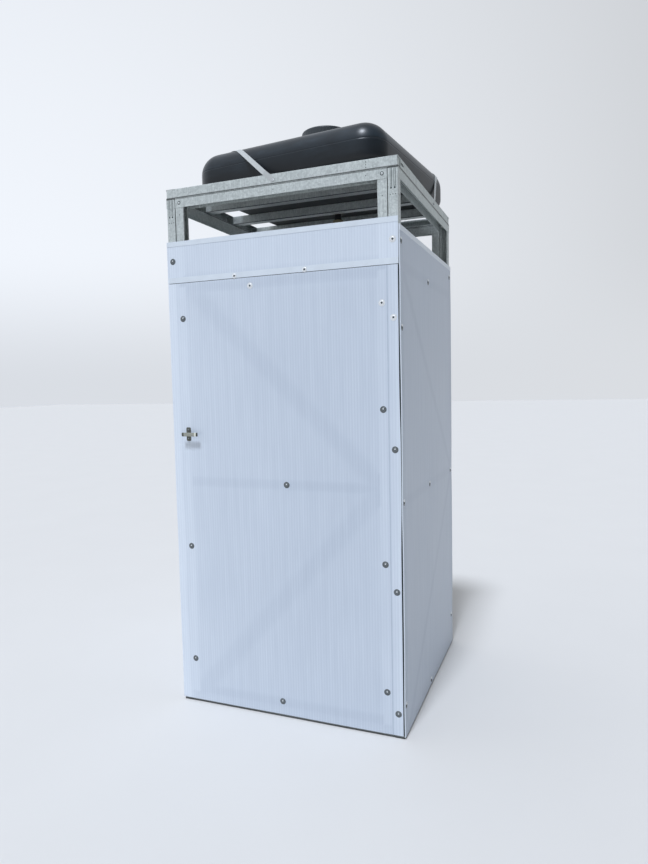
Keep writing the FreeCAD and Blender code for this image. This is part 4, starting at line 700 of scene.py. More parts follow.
def measured_fixing(points):
    """Seat, outward direction, head radius and height, shank radius and length of one screw or rivet."""
    low, high = points.min(axis=0), points.max(axis=0)
    size = high - low
    middle = (low + high) / 2
    axis = int(np.argmin([abs(size[1] - size[2]), abs(size[2] - size[0]), abs(size[0] - size[1])]))
    aside = points - middle
    aside[:, axis] = 0
    reach = np.linalg.norm(aside, axis=1)
    rim = points[reach > 0.97 * reach.max(), axis]
    sign = 1 if rim.mean() > middle[axis] else -1
    level = rim.min() if sign > 0 else rim.max()
    seat = middle.copy()
    seat[axis] = level
    out = np.zeros(3)
    out[axis] = sign
    head = (high[axis] - level) if sign > 0 else (level - low[axis])
    inner = (level - points[:, axis]) * sign > 0.2 * MM
    return seat, out, reach.max(), head, reach[inner].max(), size[axis] - head


def fixings(node):
    """measured_fixing for every screw or rivet of a CAD node, as one array for each measure."""
    return [np.array(column) for column in zip(*(measured_fixing(points) for points in solids(node)))]


def dress(finish, slot=None, names=()):
    """Gives CAD nodes, those of a slot or those named, a finish through their own material slots."""
    of_slot = [part["node"] for part in frame["record"]["subparts"] if part["material_slot"] == slot]
    for name in (*of_slot, *names):
        node = frame["nodes"][name]
        if not node.material_slots:
            node.data.materials.append(finish)
        for holder in node.material_slots:
            holder.material = finish


# Pieces


def painted_steel_bands(across, height, members, flat, shows, soft_edge, brace_blur, brace_spread):
    """Painted light of the steel members behind a sheet: how far they lighten, or below 0 darken as painted shade,
    each point of a sheet.

    An upright or level member covers its box, an inclined one the strip between its two long edges and
    a spread beyond them; each edge is blurred, each kind of member shows by its own share, and the
    strongest share holds.
    """
    inclined_size = 0.1
    cover = np.zeros(np.broadcast_shapes(across.shape, height.shape))
    for points in members:
        low, high = points.min(axis=0), points.max(axis=0)
        wide, tall = high[flat] - low[flat], high[2] - low[2]
        inside = np.minimum(across - low[flat], high[flat] - across)
        inside = np.minimum(inside, np.minimum(height - low[2], high[2] - height))
        show = shows[0 if tall > wide else 1]
        blur = soft_edge
        if min(wide, tall) > inclined_size:
            show = shows[2]
            blur = brace_blur
            plan = points[:, [flat, 2]]
            long_way = np.linalg.svd(plan - plan.mean(axis=0), full_matrices=False)[2][0]
            normal = np.array([-long_way[1], long_way[0]])
            middle = plan @ normal
            distance = across * normal[0] + height * normal[1]
            strip = np.minimum(distance - middle.min(), middle.max() - distance)
            inside = np.minimum(inside, strip) + brace_spread
        band = show * smoothstep(inside / blur + 0.5)
        cover = np.where(np.abs(band) > np.abs(cover), band, cover)
    return cover


def sheet_surface(name, sheets):
    """A sheet as a closed slab on a grid: its points and faces, flat map, painted light and shade, and finish
    numbers.

    The outer and the inner face follow one grid of across and height; between the screws both stand off
    by the bow times the product, over the screws, of one minus a bell curve of the distance, and the
    bow dies out along the upper edge and along the door's fold. The hinge strip's outer edge bows to
    the corner by a flat-topped bell curve of the height.
    """
    axis, sign, _, backers = SHEETS[name]
    flat = 1 - axis
    low, high = (np.array(corner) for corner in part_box(name))
    columns, rows = (max(int((high[way] - low[way]) / sheets.spacing), 2) + 1 for way in (flat, 2))
    across = np.linspace(low[flat], high[flat], columns)[None]
    height = np.linspace(low[2], high[2], rows)[:, None]
    bow = np.zeros((rows, columns))
    if name in BOWED_SHEETS:
        held = np.concatenate([fixings(node)[0] for node in ("wall_sheet_screws", "door_sheet_screws")])
        held = held[np.all((held > low - sheets.near) & (held < high + sheets.near), axis=1)]
        squared = (across[..., None] - held[:, flat]) ** 2 + (height[..., None] - held[:, 2]) ** 2
        bow = sheets.bow * np.prod(1 - np.exp(-squared / sheets.hold ** 2), axis=-1)
        bow = bow * smoothstep((high[2] - height) / sheets.edge_hold - 0.5)
        if name == "door_sheet":
            bow = bow * smoothstep((high[flat] - across) / sheets.edge_hold)
    inner, outer = (low[axis], high[axis])[::sign]
    placed = across
    if name == "hinge_strip":
        shift = sheets.strip_bow * np.exp(-((height - sheets.strip_bow_level) / sheets.strip_bow_reach) ** 4)
        placed = across + shift * (across - low[flat]) / (high[flat] - low[flat])
    ring = 2 * columns
    points = np.empty((rows, ring, 3))
    points[:, :columns, flat] = placed
    points[:, columns:, flat] = placed[:, ::-1]
    points[:, :, 2] = height
    points[:, :columns, axis] = outer + sign * bow
    points[:, columns:, axis] = (inner + sign * bow)[:, ::-1]
    members = [points_of for node in backers for points_of in solids(node)]
    # Painted light and shade: the steel behind as lighter or darker bands, and painted shade over each wall.
    soft = sheets.soft_edge
    if (axis, sign) == FRONT:
        blurs = (soft, sheets.brace_blur, sheets.brace_spread)
        cover = painted_steel_bands(across, height, members, flat, sheets.front_painted_light, *blurs)
    else:
        cover = painted_steel_bands(across, height, members, flat, sheets.wall_painted_light, soft, soft, 0) + sheets.wall_glow
    # Painted light through the header from behind, through the door's free edge fading across the door, and
    # through the hinge strip's free edge.
    if name == "header_sheet":
        cover = cover + sheets.header_glow
    if name == "door_sheet":
        from_edge = across - low[flat]
        cover = cover + sheets.door_shade + sheets.door_light * np.exp(-from_edge / sheets.door_reach)
        lit = smoothstep((sheets.glow - from_edge) / soft + 0.5)
        cover = cover + (sheets.glow_light - cover) * lit
    if name == "hinge_strip":
        from_edge = high[flat] - across
        lit = smoothstep((sheets.strip_glow - from_edge) / soft + 0.5)
        cover = cover + (sheets.strip_light - cover) * lit
    cover = np.concatenate([cover, cover[:, ::-1]], axis=1)
    plan = points[:, :, [flat, 2]].reshape(-1, 2)
    column = np.tile(np.arange(ring), rows - 1)
    kinds = np.isin(column, (columns - 1, ring - 1)).astype(int)
    there = np.arange(columns)
    back = ring - 1 - there
    cap = np.stack([there[:-1], there[1:], back[1:], back[:-1]], axis=-1)
    faces = np.concatenate([grid_faces(rows, ring), cap, cap + (rows - 1) * ring])
    kinds = np.concatenate([kinds, np.ones(2 * len(cap), int)])
    return (points, faces), plan, cover, kinds


class SHOWER_CABIN_OT_steel_frame(bpy.types.Operator):
    """Gives the channels of the frame, the roof and the door their galvanised finish"""

    bl_idname = "shower_cabin.steel_frame"
    bl_label = "Steel frame"

    def execute(self, context):
        dress(galvanised_steel(context.scene.shower_cabin.steel), "galvanised_steel")
        return {"FINISHED"}


class SHOWER_CABIN_OT_sheets(bpy.types.Operator):
    """Makes the fluted sheets of the walls, the header and the door"""

    bl_idname = "shower_cabin.sheets"
    bl_label = "Sheets"

    def execute(self, context):
        sheets = context.scene.shower_cabin.sheets
        finishes = [hollow_sheet(sheets), plain("sawn_polypropylene_edge", sheets.edge)]
        for name, (_, _, body, _) in SHEETS.items():
            # Each sheet carries its painted light and shade as a per-point field.
            shape, plan, cover, kinds = sheet_surface(name, sheets)
            piece = new_piece(
                "fluted_" + name, shape, finishes, body,
                fields={"painted_backlight": cover}, plan=plan, kinds=kinds,
            )
            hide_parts(name)
        return {"FINISHED"}


class SHOWER_CABIN_OT_door_fold(bpy.types.Operator):
    """Makes the thin skin of the fold that the door hangs on"""

    bl_idname = "shower_cabin.door_fold"
    bl_label = "Door fold"

    def execute(self, context):
        sheets = context.scene.shower_cabin.sheets
        strip_low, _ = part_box("hinge_strip")
        door_low, door_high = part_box("door_sheet")
        middle = (strip_low.x + door_high.x) / 2
        shape = self.skin(sheets, middle, door_low.y, door_low.z, door_high.z)
        # The fold's darker tint is painted shade in its crease.
        finish = plain("painted_shade_fold", sheets.fold)
        piece = new_piece("door_fold_skin", shape, [finish])
        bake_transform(piece)
        return {"FINISHED"}

    @staticmethod
    def skin(sheets, middle, face, bottom, top):
        """A flat oval carried up the fold: the half width and half thickness times a cosine and a sine."""
        round_it = full_turn(16)
        half_skin = sheets.fold_skin / 2
        depth = face - sheets.fold_proud + half_skin
        x = middle + sheets.fold_width / 2 * np.cos(round_it)
        y = depth - half_skin * np.sin(round_it)
        height = np.linspace(bottom, top, 60)
        points = np.stack(np.broadcast_arrays(x[None], y[None], height[:, None]), axis=-1)
        middles = np.array([[middle, depth, level] for level in (bottom, top)])
        ends = np.repeat(middles[:, None], len(round_it), axis=1)
        points = np.concatenate([ends[:1], points, ends[1:]])
        return points, grid_faces(len(points), len(round_it))


class SHOWER_CABIN_OT_edge_trims(bpy.types.Operator):
    """Gives the sheets' edge trims their finish"""

    bl_idname = "shower_cabin.edge_trims"
    bl_label = "Edge trims"

    def execute(self, context):
        dress(plain("extruded_white_pvc", context.scene.shower_cabin.sheets.trim), "edge_trim")
        return {"FINISHED"}


class SHOWER_CABIN_OT_gap_shade(bpy.types.Operator):
    """Makes dark strips of painted shade in the gap over the door and in the gap at the right front corner"""

    bl_idname = "shower_cabin.gap_tape"
    bl_label = "Gap tape"

    def execute(self, context):
        sheets = context.scene.shower_cabin.sheets
        finish = plain("painted_gap_shade", sheets.foam)
        new_piece("gap_shade_strips", joined(*self.shade_strips(sheets)), [finish], "cabin")
        return {"FINISHED"}

    @staticmethod
    def shade_strips(sheets):
        """Two flat dark bars of painted shade against the steel: one along X over the door, one up the right front
        post.
        """
        rail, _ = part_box("header_bottom_rail")
        post, post_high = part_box("right_front_post")
        left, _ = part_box("left_front_post")
        strip, strip_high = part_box("hinge_strip")
        side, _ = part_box("right_sheet")
        _, door_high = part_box("door_sheet")
        header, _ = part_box("header_sheet")
        gap = header.z - door_high.z
        over = np.array([[(left.x + post_high.x) / 2, rail.y, door_high.z + 0.5 * gap]])
        over_half = np.array([[(post_high.x - left.x) / 2, sheets.tape, 0.45 * gap]])
        beside = np.array([[(strip_high.x + side.x) / 2, post.y, (strip.z + strip_high.z) / 2]])
        beside_half = np.array([[(side.x - strip_high.x) / 2, sheets.tape, (strip_high.z - strip.z) / 2]])
        along_x = (2, 0, 1)
        return pills(over, over_half, 0.1, along_x), pills(beside, beside_half, 0.1)


class SHOWER_CABIN_OT_tank(bpy.types.Operator):
    """Makes the moulded roof tank with its mould line, domed top and filler neck"""

    bl_idname = "shower_cabin.tank"
    bl_label = "Tank"

    def execute(self, context):
        tank = context.scene.shower_cabin.tank
        finish = moulded_tank(tank)
        piece = new_piece("moulded_tank", self.shell(tank), [finish], "cabin", sharp=50)
        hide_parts("tank_shell", "tank_neck")
        return {"FINISHED"}

    @staticmethod
    def profile(tank, inset):
        """Radii of the outline and levels from the floor to the flat top, an inset inside the tank.

        The foot and the shoulder are quarter circles; the mould line is a narrow bell-shaped groove in
        the shoulder.
        """
        groove_angle = 0.02
        turn = np.linspace(0, QUARTER_TURN, 12)
        foot, shoulder = tank.foot - inset, tank.shoulder - inset
        foot_radius = tank.corner - tank.foot + foot * np.sin(turn)
        foot_level = tank.foot - foot * np.cos(turn)
        seam = math.asin((tank.seam_level - tank.height + tank.shoulder) / tank.shoulder)
        close = seam + np.linspace(-4 * groove_angle, 4 * groove_angle, 17)
        turn = np.sort(np.concatenate([np.linspace(0, QUARTER_TURN, 24), close]))
        groove = tank.seam_depth * np.exp(-((turn - seam) / groove_angle) ** 2) * (inset == 0)
        shoulder_radius = tank.corner - tank.shoulder + (shoulder - groove) * np.cos(turn)
        shoulder_level = tank.height - tank.shoulder + (shoulder - groove) * np.sin(turn)
        return np.concatenate([foot_radius, shoulder_radius]), np.concatenate([foot_level, shoulder_level])

    @classmethod
    def shell(cls, tank):
        """The tank's outside and inside as one closed surface.

        Rows go out over the floor, up the wall, in over the top, up the dome and the neck, over its rim
        and back down the inside. A row of the body is the rounded outline at its radius; a row of the
        dome or neck is a circle.
        """
        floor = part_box("tank_shell")[0].z
        neck_low, neck_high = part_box("tank_neck")
        centre = (np.array(neck_low[:2]) + np.array(neck_high[:2])) / 2
        core, way = rounded_outline(16, 14)
        half_core = np.array([tank.width / 2 - tank.corner, tank.depth / 2 - tank.corner])
        layers = []
        for inset in (0, tank.wall):
            radius, level = cls.profile(tank, inset)
            plan = half_core * core + radius[:, None, None] * way
            directions = plan[-1] / np.linalg.norm(plan[-1], axis=1, keepdims=True)
            slope = np.linspace(0, 1, 9)
            dome = tank.dome - inset + (tank.crown - tank.dome) * slope
            rise = tank.height - inset + tank.rise * (0.85 * slope + 0.15 * smoothstep(slope))
            neck = tank.neck - inset
            circle = np.concatenate([dome, np.linspace(tank.crown - inset, neck, 3)[1:], [neck] * 6])
            crown_level = tank.height + tank.rise - inset
            up_neck = np.linspace(crown_level, neck_high.z - floor, 7)[1:]
            climb = np.concatenate([rise, [crown_level] * 2, up_neck])
            plan = np.concatenate([0 * plan[:1], plan, circle[:, None, None] * directions])
            level = np.concatenate([level[:1], level, climb])
            layers.append(np.dstack([plan, np.repeat(level[:, None], len(core), axis=1)]))
        local = np.concatenate([layers[0], layers[1][::-1]])
        turned = Matrix.Rotation(tank.turn, 3, "Z")
        points = local @ np.array(turned).T + np.array([*centre, floor])
        return points, grid_faces(len(local), len(core))


class SHOWER_CABIN_OT_lid(bpy.types.Operator):
    """Makes the ribbed screw lid of the tank"""

    bl_idname = "shower_cabin.lid"
    bl_label = "Lid"

    def execute(self, context):
        tank = context.scene.shower_cabin.tank
        finish = plain("injection_moulded_polypropylene", tank.lid)
        piece = new_piece("ribbed_lid", self.cap(tank), [finish], "lid", sharp=40)
        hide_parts("tank_lid")
        return {"FINISHED"}

    @staticmethod
    def cap(tank):
        """A cap turned about Z: down the skirt's inside, up its ribbed outside, over its edge and crown.

        The skirt's outer radius dips by the rib depth times a power of a raised cosine of the rib
        number times the angle, and the dips fade out at the skirt's foot and under the rounded edge.
        """
        rib_foot, foot_fade, edge_fade = 4 * MM, 5 * MM, 6 * MM
        low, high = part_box("tank_lid")
        centre = (low + high) / 2
        outer, tall = (high.x - low.x) / 2, high.z - low.z
        inner, roof = outer - tank.lid_wall, tall - tank.lid_wall
        bend = np.linspace(0, QUARTER_TURN, 7)[1:]
        edge = tall - tank.lid_crown - tank.lid_round
        skirt = np.linspace(0, edge, 12)
        round_radius = outer - tank.lid_round + tank.lid_round * np.cos(bend)
        round_level = edge + tank.lid_round * np.sin(bend)
        top_radius = np.linspace(outer - tank.lid_round, 0, 10)[1:]
        top_level = tall - tank.lid_crown * (top_radius / (outer - tank.lid_round)) ** 2
        radius = np.concatenate([[0, inner, inner], [outer] * len(skirt), round_radius, top_radius])
        level = np.concatenate([[roof, roof, 0], skirt, round_level, top_level])
        ribbed = np.zeros(len(radius))
        fade = smoothstep((skirt - rib_foot) / foot_fade) * smoothstep((edge - skirt) / edge_fade)
        ribbed[3:3 + len(skirt)] = fade
        angle = full_turn(8 * tank.ribs)
        dips = tank.rib_depth * (0.5 - 0.5 * np.cos(tank.ribs * angle)) ** 0.7
        spread = radius[:, None] - ribbed[:, None] * dips
        points = np.stack([
            centre.x + spread * np.cos(angle), centre.y + spread * np.sin(angle),
            low.z + np.repeat(level[:, None], len(angle), axis=1),
        ], axis=-1)
        return points, grid_faces(len(radius), len(angle))


class SHOWER_CABIN_OT_straps(bpy.types.Operator):
    """Gives the two bands over the tank their finish"""

    bl_idname = "shower_cabin.straps"
    bl_label = "Straps"

    def execute(self, context):
        dress(plain("rolled_galvanised_band", context.scene.shower_cabin.steel.strap), "strap_steel")
        return {"FINISHED"}


class SHOWER_CABIN_OT_screws(bpy.types.Operator):
    """Makes the domed screws of the sheets and straps"""

    bl_idname = "shower_cabin.screws"
    bl_label = "Screws"

    def execute(self, context):
        settings = context.scene.shower_cabin.fixings
        finish = rubbed_and_lit("zinc_plated_screw", settings.dull, settings.bright)
        bodies = {"wall_sheet_screws": "cabin", "door_sheet_screws": "door", "strap_screws": "cabin"}
        for node, body in bodies.items():
            shape, wear_and_painted_light = self.screws(node, settings)
            piece = new_piece("domed_" + node, shape, [finish], body, fields={"wear_and_painted_light": wear_and_painted_light})
            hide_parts(node)
        return {"FINISHED"}

    @staticmethod
    def screws(node, settings):
        """Screws turned from tip to crown: a pointed shank, a thin washer on a sheet, a rim and a dome.

        The dome's level is the head's height times a power of one minus the squared share of the radius. The
        screws high on the front are drawn bright, a painted reflection of the sky, and have an open recess, where
        the level drops as far as either the sine or the cosine of the angle keeps a point near an arm, with
        painted shade in it; the others are dull, with painted shade round the rim and a painted highlight on a
        spot above the crown, and the side walls' screws are darker by painted shade, with a painted highlight
        along their upper side.
        """
        seats, outs, head, height, shank, deep = fixings(node)
        count, sectors = len(head), settings.screw_sectors
        spin_step = 2.4
        spins = np.arange(count) * spin_step
        angle = full_turn(sectors)
        none = np.zeros(count)
        over_door = seats[:, 2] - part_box("door_sheet")[1].z
        smallest_washed = 6 * MM
        washer = settings.washer if "sheet" in node else 1.0
        flange = np.where(head > smallest_washed, washer * head, head)
        flange = np.where(over_door > 0, np.minimum(flange, over_door), flange)
        tip = np.minimum(2.5 * MM, 0.4 * deep)
        share = np.array([0.95, 0.86, 0.74, 0.6, 0.47, 0.4, 0.34, 0.22, 0.1, 0.0])
        below = [none, 0.3 * shank, shank, shank, flange, flange, head]
        radii = np.concatenate([np.stack(below, axis=1), head[:, None] * share], axis=1)
        below = [-deep, -deep, tip - deep, none, none, 0.2 * height, 0.25 * height]
        dome = height[:, None] * (0.25 + 0.75 * (1 - share[None] ** 2) ** 0.6)
        levels = np.concatenate([np.stack(below, axis=1), dome], axis=1)
        recess_radius, arm_width, recess_depth = 0.48, 0.2, 0.6
        arm = np.minimum(np.abs(np.cos(angle)), np.abs(np.sin(angle)))
        cross = (share[:, None] < recess_radius) & (share[:, None] * arm < arm_width)
        cross = np.concatenate([np.zeros((len(below), sectors), bool), cross])
        # Screws high on the front are drawn bright: a painted reflection of the sky.
        on_front = outs[:, 1] < -0.5
        sky_reflecting = (seats[:, 2] > settings.reflecting_level) & (seats[:, 0] > settings.reflecting_right) & on_front
        recess = cross[None] & sky_reflecting[:, None, None]
        levels = levels[..., None] - recess_depth * height[:, None, None] * recess
        bright = np.concatenate([np.full(len(below), 0.9), np.ones(len(share))])
        turn = spins[:, None, None] + angle
        off_spot = np.hypot(share[:, None] * np.cos(turn), share[:, None] * np.sin(turn) - settings.spot)
        # Dull heads: dirt, with a painted highlight on a spot above the crown.
        spot_reach, spot_blur, dirt, washed = 0.4, 0.25, 0.13, 0.8
        dull = dirt + washed * smoothstep((spot_reach - off_spot) / spot_blur)
        # Painted shade round the rim of a dull head, and over the side walls' screws.
        rim_shade, side_shade = 0.12, 0.4
        dull = np.concatenate([np.full((count, len(below), sectors), rim_shade), dull], axis=1)
        on_side = np.abs(outs[:, :1]) > 0.5
        dull = dull * np.where(on_side, side_shade, 1.0)[..., None]
        # Painted shade in the open recess.
        wear_and_painted_light = np.where(sky_reflecting[:, None, None], bright[:, None], dull) * ~recess
        # A painted highlight along the upper side of the side walls' screws.
        upper_start, upper_blur, inner_share, side_highlight = 0.2, 0.5, 0.4, 0.9
        upper = smoothstep((np.sin(turn) - upper_start) / upper_blur) * on_side[..., None]
        outer = radii / head[:, None] > inner_share
        wear_and_painted_light = np.maximum(wear_and_painted_light, side_highlight * upper * outer[..., None])
        return turned_shapes(seats, outs, spins, radii, levels, sectors), wear_and_painted_light


class SHOWER_CABIN_OT_rivets(bpy.types.Operator):
    """Makes the blind rivets of the frames"""

    bl_idname = "shower_cabin.rivets"
    bl_label = "Rivets"

    def execute(self, context):
        settings = context.scene.shower_cabin.fixings
        finish = rubbed_and_lit("blind_rivet_aluminium", settings.dull, settings.rivet)
        for node, body in {"frame_rivets": "cabin", "door_frame_rivets": "door"}.items():
            shape, wear_and_painted_light = self.rivets(node, settings.rivet_sectors)
            piece = new_piece("blind_" + node, shape, [finish], body, fields={"wear_and_painted_light": wear_and_painted_light})
            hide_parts(node)
        return {"FINISHED"}

    @staticmethod
    def rivets(node, sectors):
        """Rivets turned from tail to head: plain tail, flat seat, round head, the mandrel's sunk end."""
        seats, outs, head, height, shank, deep = fixings(node)
        none = np.zeros(len(head))
        crown = head[:, None] * np.array([1, 0.92, 0.7, 0.44, 0.38, 0])
        radii = np.concatenate([np.stack([none, shank, shank], axis=1), crown], axis=1)
        crown = height[:, None] * np.array([0, 0.45, 0.85, 1, 0.55, 0.5])
        levels = np.concatenate([np.stack([-deep, -deep, none], axis=1), crown], axis=1)
        # Painted shade at the seat and in the mandrel's hole, and a painted highlight at the crown.
        wear_and_painted_light = np.array([0.3, 0.3, 0.3, 0.1, 0.5, 0.9, 1.0, 0.6, 0.5])
        wear_and_painted_light = np.tile(np.repeat(wear_and_painted_light, sectors), len(head))
        return turned_shapes(seats, outs, none + 0.5, radii, levels, sectors), wear_and_painted_light


class SHOWER_CABIN_OT_pressed_marks(bpy.types.Operator):
    """Makes the pressed ribs of the posts and the roof rails' end tabs, and flat dark pieces of painted shade for
    the dots and slots of the posts, rails and header, round the ribs and under the front's rivets
    """

    bl_idname = "shower_cabin.pressed_marks"
    bl_label = "Pressed marks"

    def execute(self, context):
        steel = context.scene.shower_cabin.steel
        settings = context.scene.shower_cabin.fixings
        middles, halves = self.ribs(steel)
        raised = joined(pills(middles, halves, 0.3), pills(*self.tabs(steel), 0.1))
        zinc = galvanised_steel(steel)
        new_piece("pressed_ribs_and_tabs", raised, [zinc], "cabin")
        # The grooves round the ribs, the dots and slots, and the rings under the front's rivets are flat dark
        # pieces: painted shade.
        rib_shades = halves * (steel.rib_shade_width / steel.rib_width, 0.3, 1)
        shaded_marks = joined(
            pills(middles, rib_shades, 0.3),
            pills(*self.dots(steel), 1.0),
            pills(*self.rivet_shade_rings(settings, steel), 1.0),
        )
        # The dark finish of these marks is painted shade.
        dirt = plain("painted_shade_in_pressed_marks", steel.mark)
        new_piece("pressed_mark_shade", shaded_marks, [dirt], "cabin")
        return {"FINISHED"}

    @staticmethod
    def rivet_shade_rings(settings, steel):
        """Middles and half sizes of the flat dark rings of painted shade under the front's rivets."""
        seats, outs, head, *_ = fixings("frame_rivets")
        front = outs[:, 1] < -0.5
        wide = settings.ring * head[front]
        return seats[front], np.stack([wide, np.full_like(wide, steel.dot_height), wide], axis=1)

    @staticmethod
    def tabs(steel):
        """Middles and half sizes of the flat tabs that close the front and rear roof rails' ends."""
        middles, halves = [], []
        for name in ("roof_front_rail", "roof_rear_rail"):
            low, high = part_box(name)
            middle, half = (low + high) / 2, (high - low) / 2
            middles += [(way * (half.x - 0.6 * steel.tab), middle.y, middle.z) for way in (-1, 1)]
            halves += [(steel.tab / 2, half.y - steel.tab_inset, half.z - steel.tab_inset)] * 2
        return np.array(middles), np.array(halves)

    @staticmethod
    def ribs(steel):
        """Middles and half sizes of the two upright ribs on each front post's face."""
        middles = []
        for side in ("left", "right"):
            low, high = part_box(f"{side}_front_post")
            across = (low.x + high.x) / 2
            level = high.z - steel.rib_drop / 2
            middles += [(across + way * steel.rib_gap / 2, low.y, level) for way in (-1, 1)]
        halves = (steel.rib_width / 2, steel.rib_height, steel.rib_drop / 2 - 1 * MM)
        return np.array(middles), np.tile(halves, (len(middles), 1))

    @staticmethod
    def dots(steel):
        """Middles and half sizes of the dots and slots, flat dark pieces of painted shade: under the ribs, in rows
        below, on the rail, track and studs, and on the roof side rails.
        """
        flat = (steel.dot_radius, steel.dot_height, steel.dot_radius)
        upright = (steel.dot_height, steel.dot_radius, steel.dot_radius)
        wide = (1.8 * steel.dot_radius, steel.dot_height, 1.8 * steel.dot_radius)
        row = [step * steel.dot_gap for step in (-1, 0, 1)]
        row_drop = 23 * MM
        rail_dots = 0.378
        track_dots = (-0.004, 0.377)
        stud_dots = ((0.439, 2.07), (-0.439, 2.1))
        spots = []
        for side, sign in (("left", -1), ("right", 1)):
            low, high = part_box(f"{side}_front_post")
            across, along = (low.x + high.x) / 2, (low.y + high.y) / 2
            foot = high.z - steel.rib_drop - 2 * MM
            outer = high.x if sign > 0 else low.x
            spots += [((across + way * steel.rib_gap / 2, low.y, foot), wide) for way in (-1, 1)]
            for step in row:
                spots.append(((across + step, low.y, foot - row_drop), flat))
                spots.append(((outer, along + step, foot - row_drop), upright))
        rail_low, rail_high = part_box("roof_front_rail")
        rail_middle = (rail_low.z + rail_high.z) / 2
        spots += [((rail_dots, rail_low.y, rail_middle + step), flat) for step in row]
        side_low, side_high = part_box("roof_side_rails")
        # A punched slot is drawn as a flat dark piece: painted shade.
        slot = (steel.dot_height, steel.slot_length / 2, steel.slot_height / 2)
        spots += [((outer, steel.slot_place, rail_middle), slot) for outer in (side_low.x, side_high.x)]
        track_low, track_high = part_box("header_top_track")
        track_middle = (track_low.z + track_high.z) / 2
        spots += [((across, track_low.y, track_middle), flat) for across in track_dots]
        stud_low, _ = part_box("header_studs")
        spots += [((across, stud_low.y, level), flat) for across, level in stud_dots]
        return np.array([middle for middle, _ in spots]), np.array([half for _, half in spots])


class SHOWER_CABIN_OT_latch(bpy.types.Operator):
    """Makes the turn latch's plate and handle, and finishes its nut"""

    bl_idname = "shower_cabin.latch"
    bl_label = "Latch"

    def execute(self, context):
        cabin = context.scene.shower_cabin
        latch = cabin.latch
        finish = rubbed_and_lit("die_cast_zinc", latch.dull, latch.worn_and_lit)
        shape = self.plate(latch)
        shade = {"wear_and_painted_light": np.full(shape[0].size // 3, 0.12)}
        plate = new_piece("cast_latch_plate", shape, [finish], "door", fields=shade)
        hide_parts("latch_plate")
        bar, wear_and_painted_light = self.bar(latch)
        hub = self.hub()
        shade = {"wear_and_painted_light": np.concatenate([wear_and_painted_light.reshape(-1), np.full(len(hub[0]), 0.25)])}
        shape = joined(bar, hub)
        handle = new_piece("cast_latch_handle", shape, [finish], "latch", fields=shade)
        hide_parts("latch_handle")
        dress(plain("zinc_plated_nut", cabin.fixings.rivet), names=["latch_nut"])
        return {"FINISHED"}

    @staticmethod
    def plate(latch):
        """A rounded rectangle raised along -Y, its edge a quarter circle, closed front and back."""
        low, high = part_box("latch_plate")
        middle = (low + high) / 2
        half_core = np.array([high.x - low.x, high.z - low.z]) / 2 - latch.corner
        core, way = rounded_outline(6, 4)
        thick = high.y - low.y
        bevel = min(latch.bevel, 0.7 * thick)
        bend = np.linspace(0, QUARTER_TURN, 5)
        radius = np.concatenate([[latch.corner], latch.corner - bevel + bevel * np.cos(bend)])
        level = np.concatenate([[0], thick - bevel + bevel * np.sin(bend)])
        rows = half_core * core + radius[:, None, None] * way
        rows = np.concatenate([0 * rows[:1], rows, 0 * rows[:1]])
        level = np.concatenate([level[:1], level, level[-1:]])
        y = np.repeat((high.y - level)[:, None], len(core), axis=1)
        points = np.stack([middle.x + rows[..., 0], y, middle.z + rows[..., 1]], axis=-1)
        return points, grid_faces(len(rows), len(core))

    @staticmethod
    def handle_parts():
        """The handle's box, and the bar's front and back: the bar is what lies in front of the finger gap."""
        low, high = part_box("latch_handle")
        points = np.concatenate(solids("latch_handle"))
        wide = points[np.abs(points[:, 0] - points[:, 0].max()) < 0.5 * MM]
        return low, high, wide[:, 1].min(), wide[:, 1].max()

    @classmethod
    def bar(cls, latch):
        """A rounded-square section carried along the bar, drawn in over a quarter circle at each end.

        The section is the half sizes times the square roots of the cosine and the sine, with their signs. The bar
        is dark at its ends, bright just inside its right end by a painted highlight, and dull grey between.
        """
        low, high, front, back = cls.handle_parts()
        half_y = (back - front) / 2
        half_z = (high.z - low.z) / 2
        bend = np.linspace(0, QUARTER_TURN, 6)
        end = min(latch.bevel, half_y)
        inner = (high.x - low.x) / 2 - end
        straight = np.linspace(-inner, inner, 41)[1:-1]
        along = np.concatenate([-inner - end * np.cos(bend), straight, inner + end * np.sin(bend)])
        drawn_in = end * np.concatenate([1 - np.sin(bend), 0 * straight, 1 - np.cos(bend)])
        angle = full_turn(24)
        ends = np.ones(len(along))
        ends[[0, -1]] = 0
        girth_y = (ends * (half_y - drawn_in))[:, None]
        girth_z = (ends * (half_z - drawn_in))[:, None]
        points = np.stack([
            np.repeat((low.x + high.x) / 2 + along[:, None], len(angle), axis=1),
            (front + back) / 2 + girth_y * powered(np.cos(angle), 0.5),
            (low.z + high.z) / 2 + girth_z * powered(np.sin(angle), 0.5),
        ], axis=-1)
        # A painted highlight just inside the right end; the ends are darker.
        from_right = inner + end - along
        bright = (from_right > latch.dark_right) & (from_right < latch.rubbed_and_lit)
        wear_and_painted_light = np.where(bright, 1.0, np.where(from_right < latch.dark_right, 0.05, 0.42))
        wear_and_painted_light = np.where(along < latch.dark_left - inner, 0.08, wear_and_painted_light)
        return (points, grid_faces(len(along), len(angle))), np.repeat(wear_and_painted_light[:, None], len(angle), axis=1)

    @classmethod
    def hub(cls):
        """The hub turned about Y between the plate and the bar, a little waisted, closed at both ends."""
        low, high, _, back = cls.handle_parts()
        joint = next(joint for joint in frame["joints"] if joint["name"] == "latch_turn")
        seat = np.array([[joint["pos_m"][0], high.y, joint["pos_m"][2]]])
        radius = (high.z - low.z) / 2 * np.array([[0, 1, 1, 0.86, 0.8, 0.86, 0.98, 0]])
        level = (high.y - back) * np.array([[0, 0, 0.12, 0.3, 0.55, 0.8, 1.1, 1.1]])
        return turned_shapes(seat, np.array([[0, -1.0, 0]]), np.zeros(1), radius, level, 32)


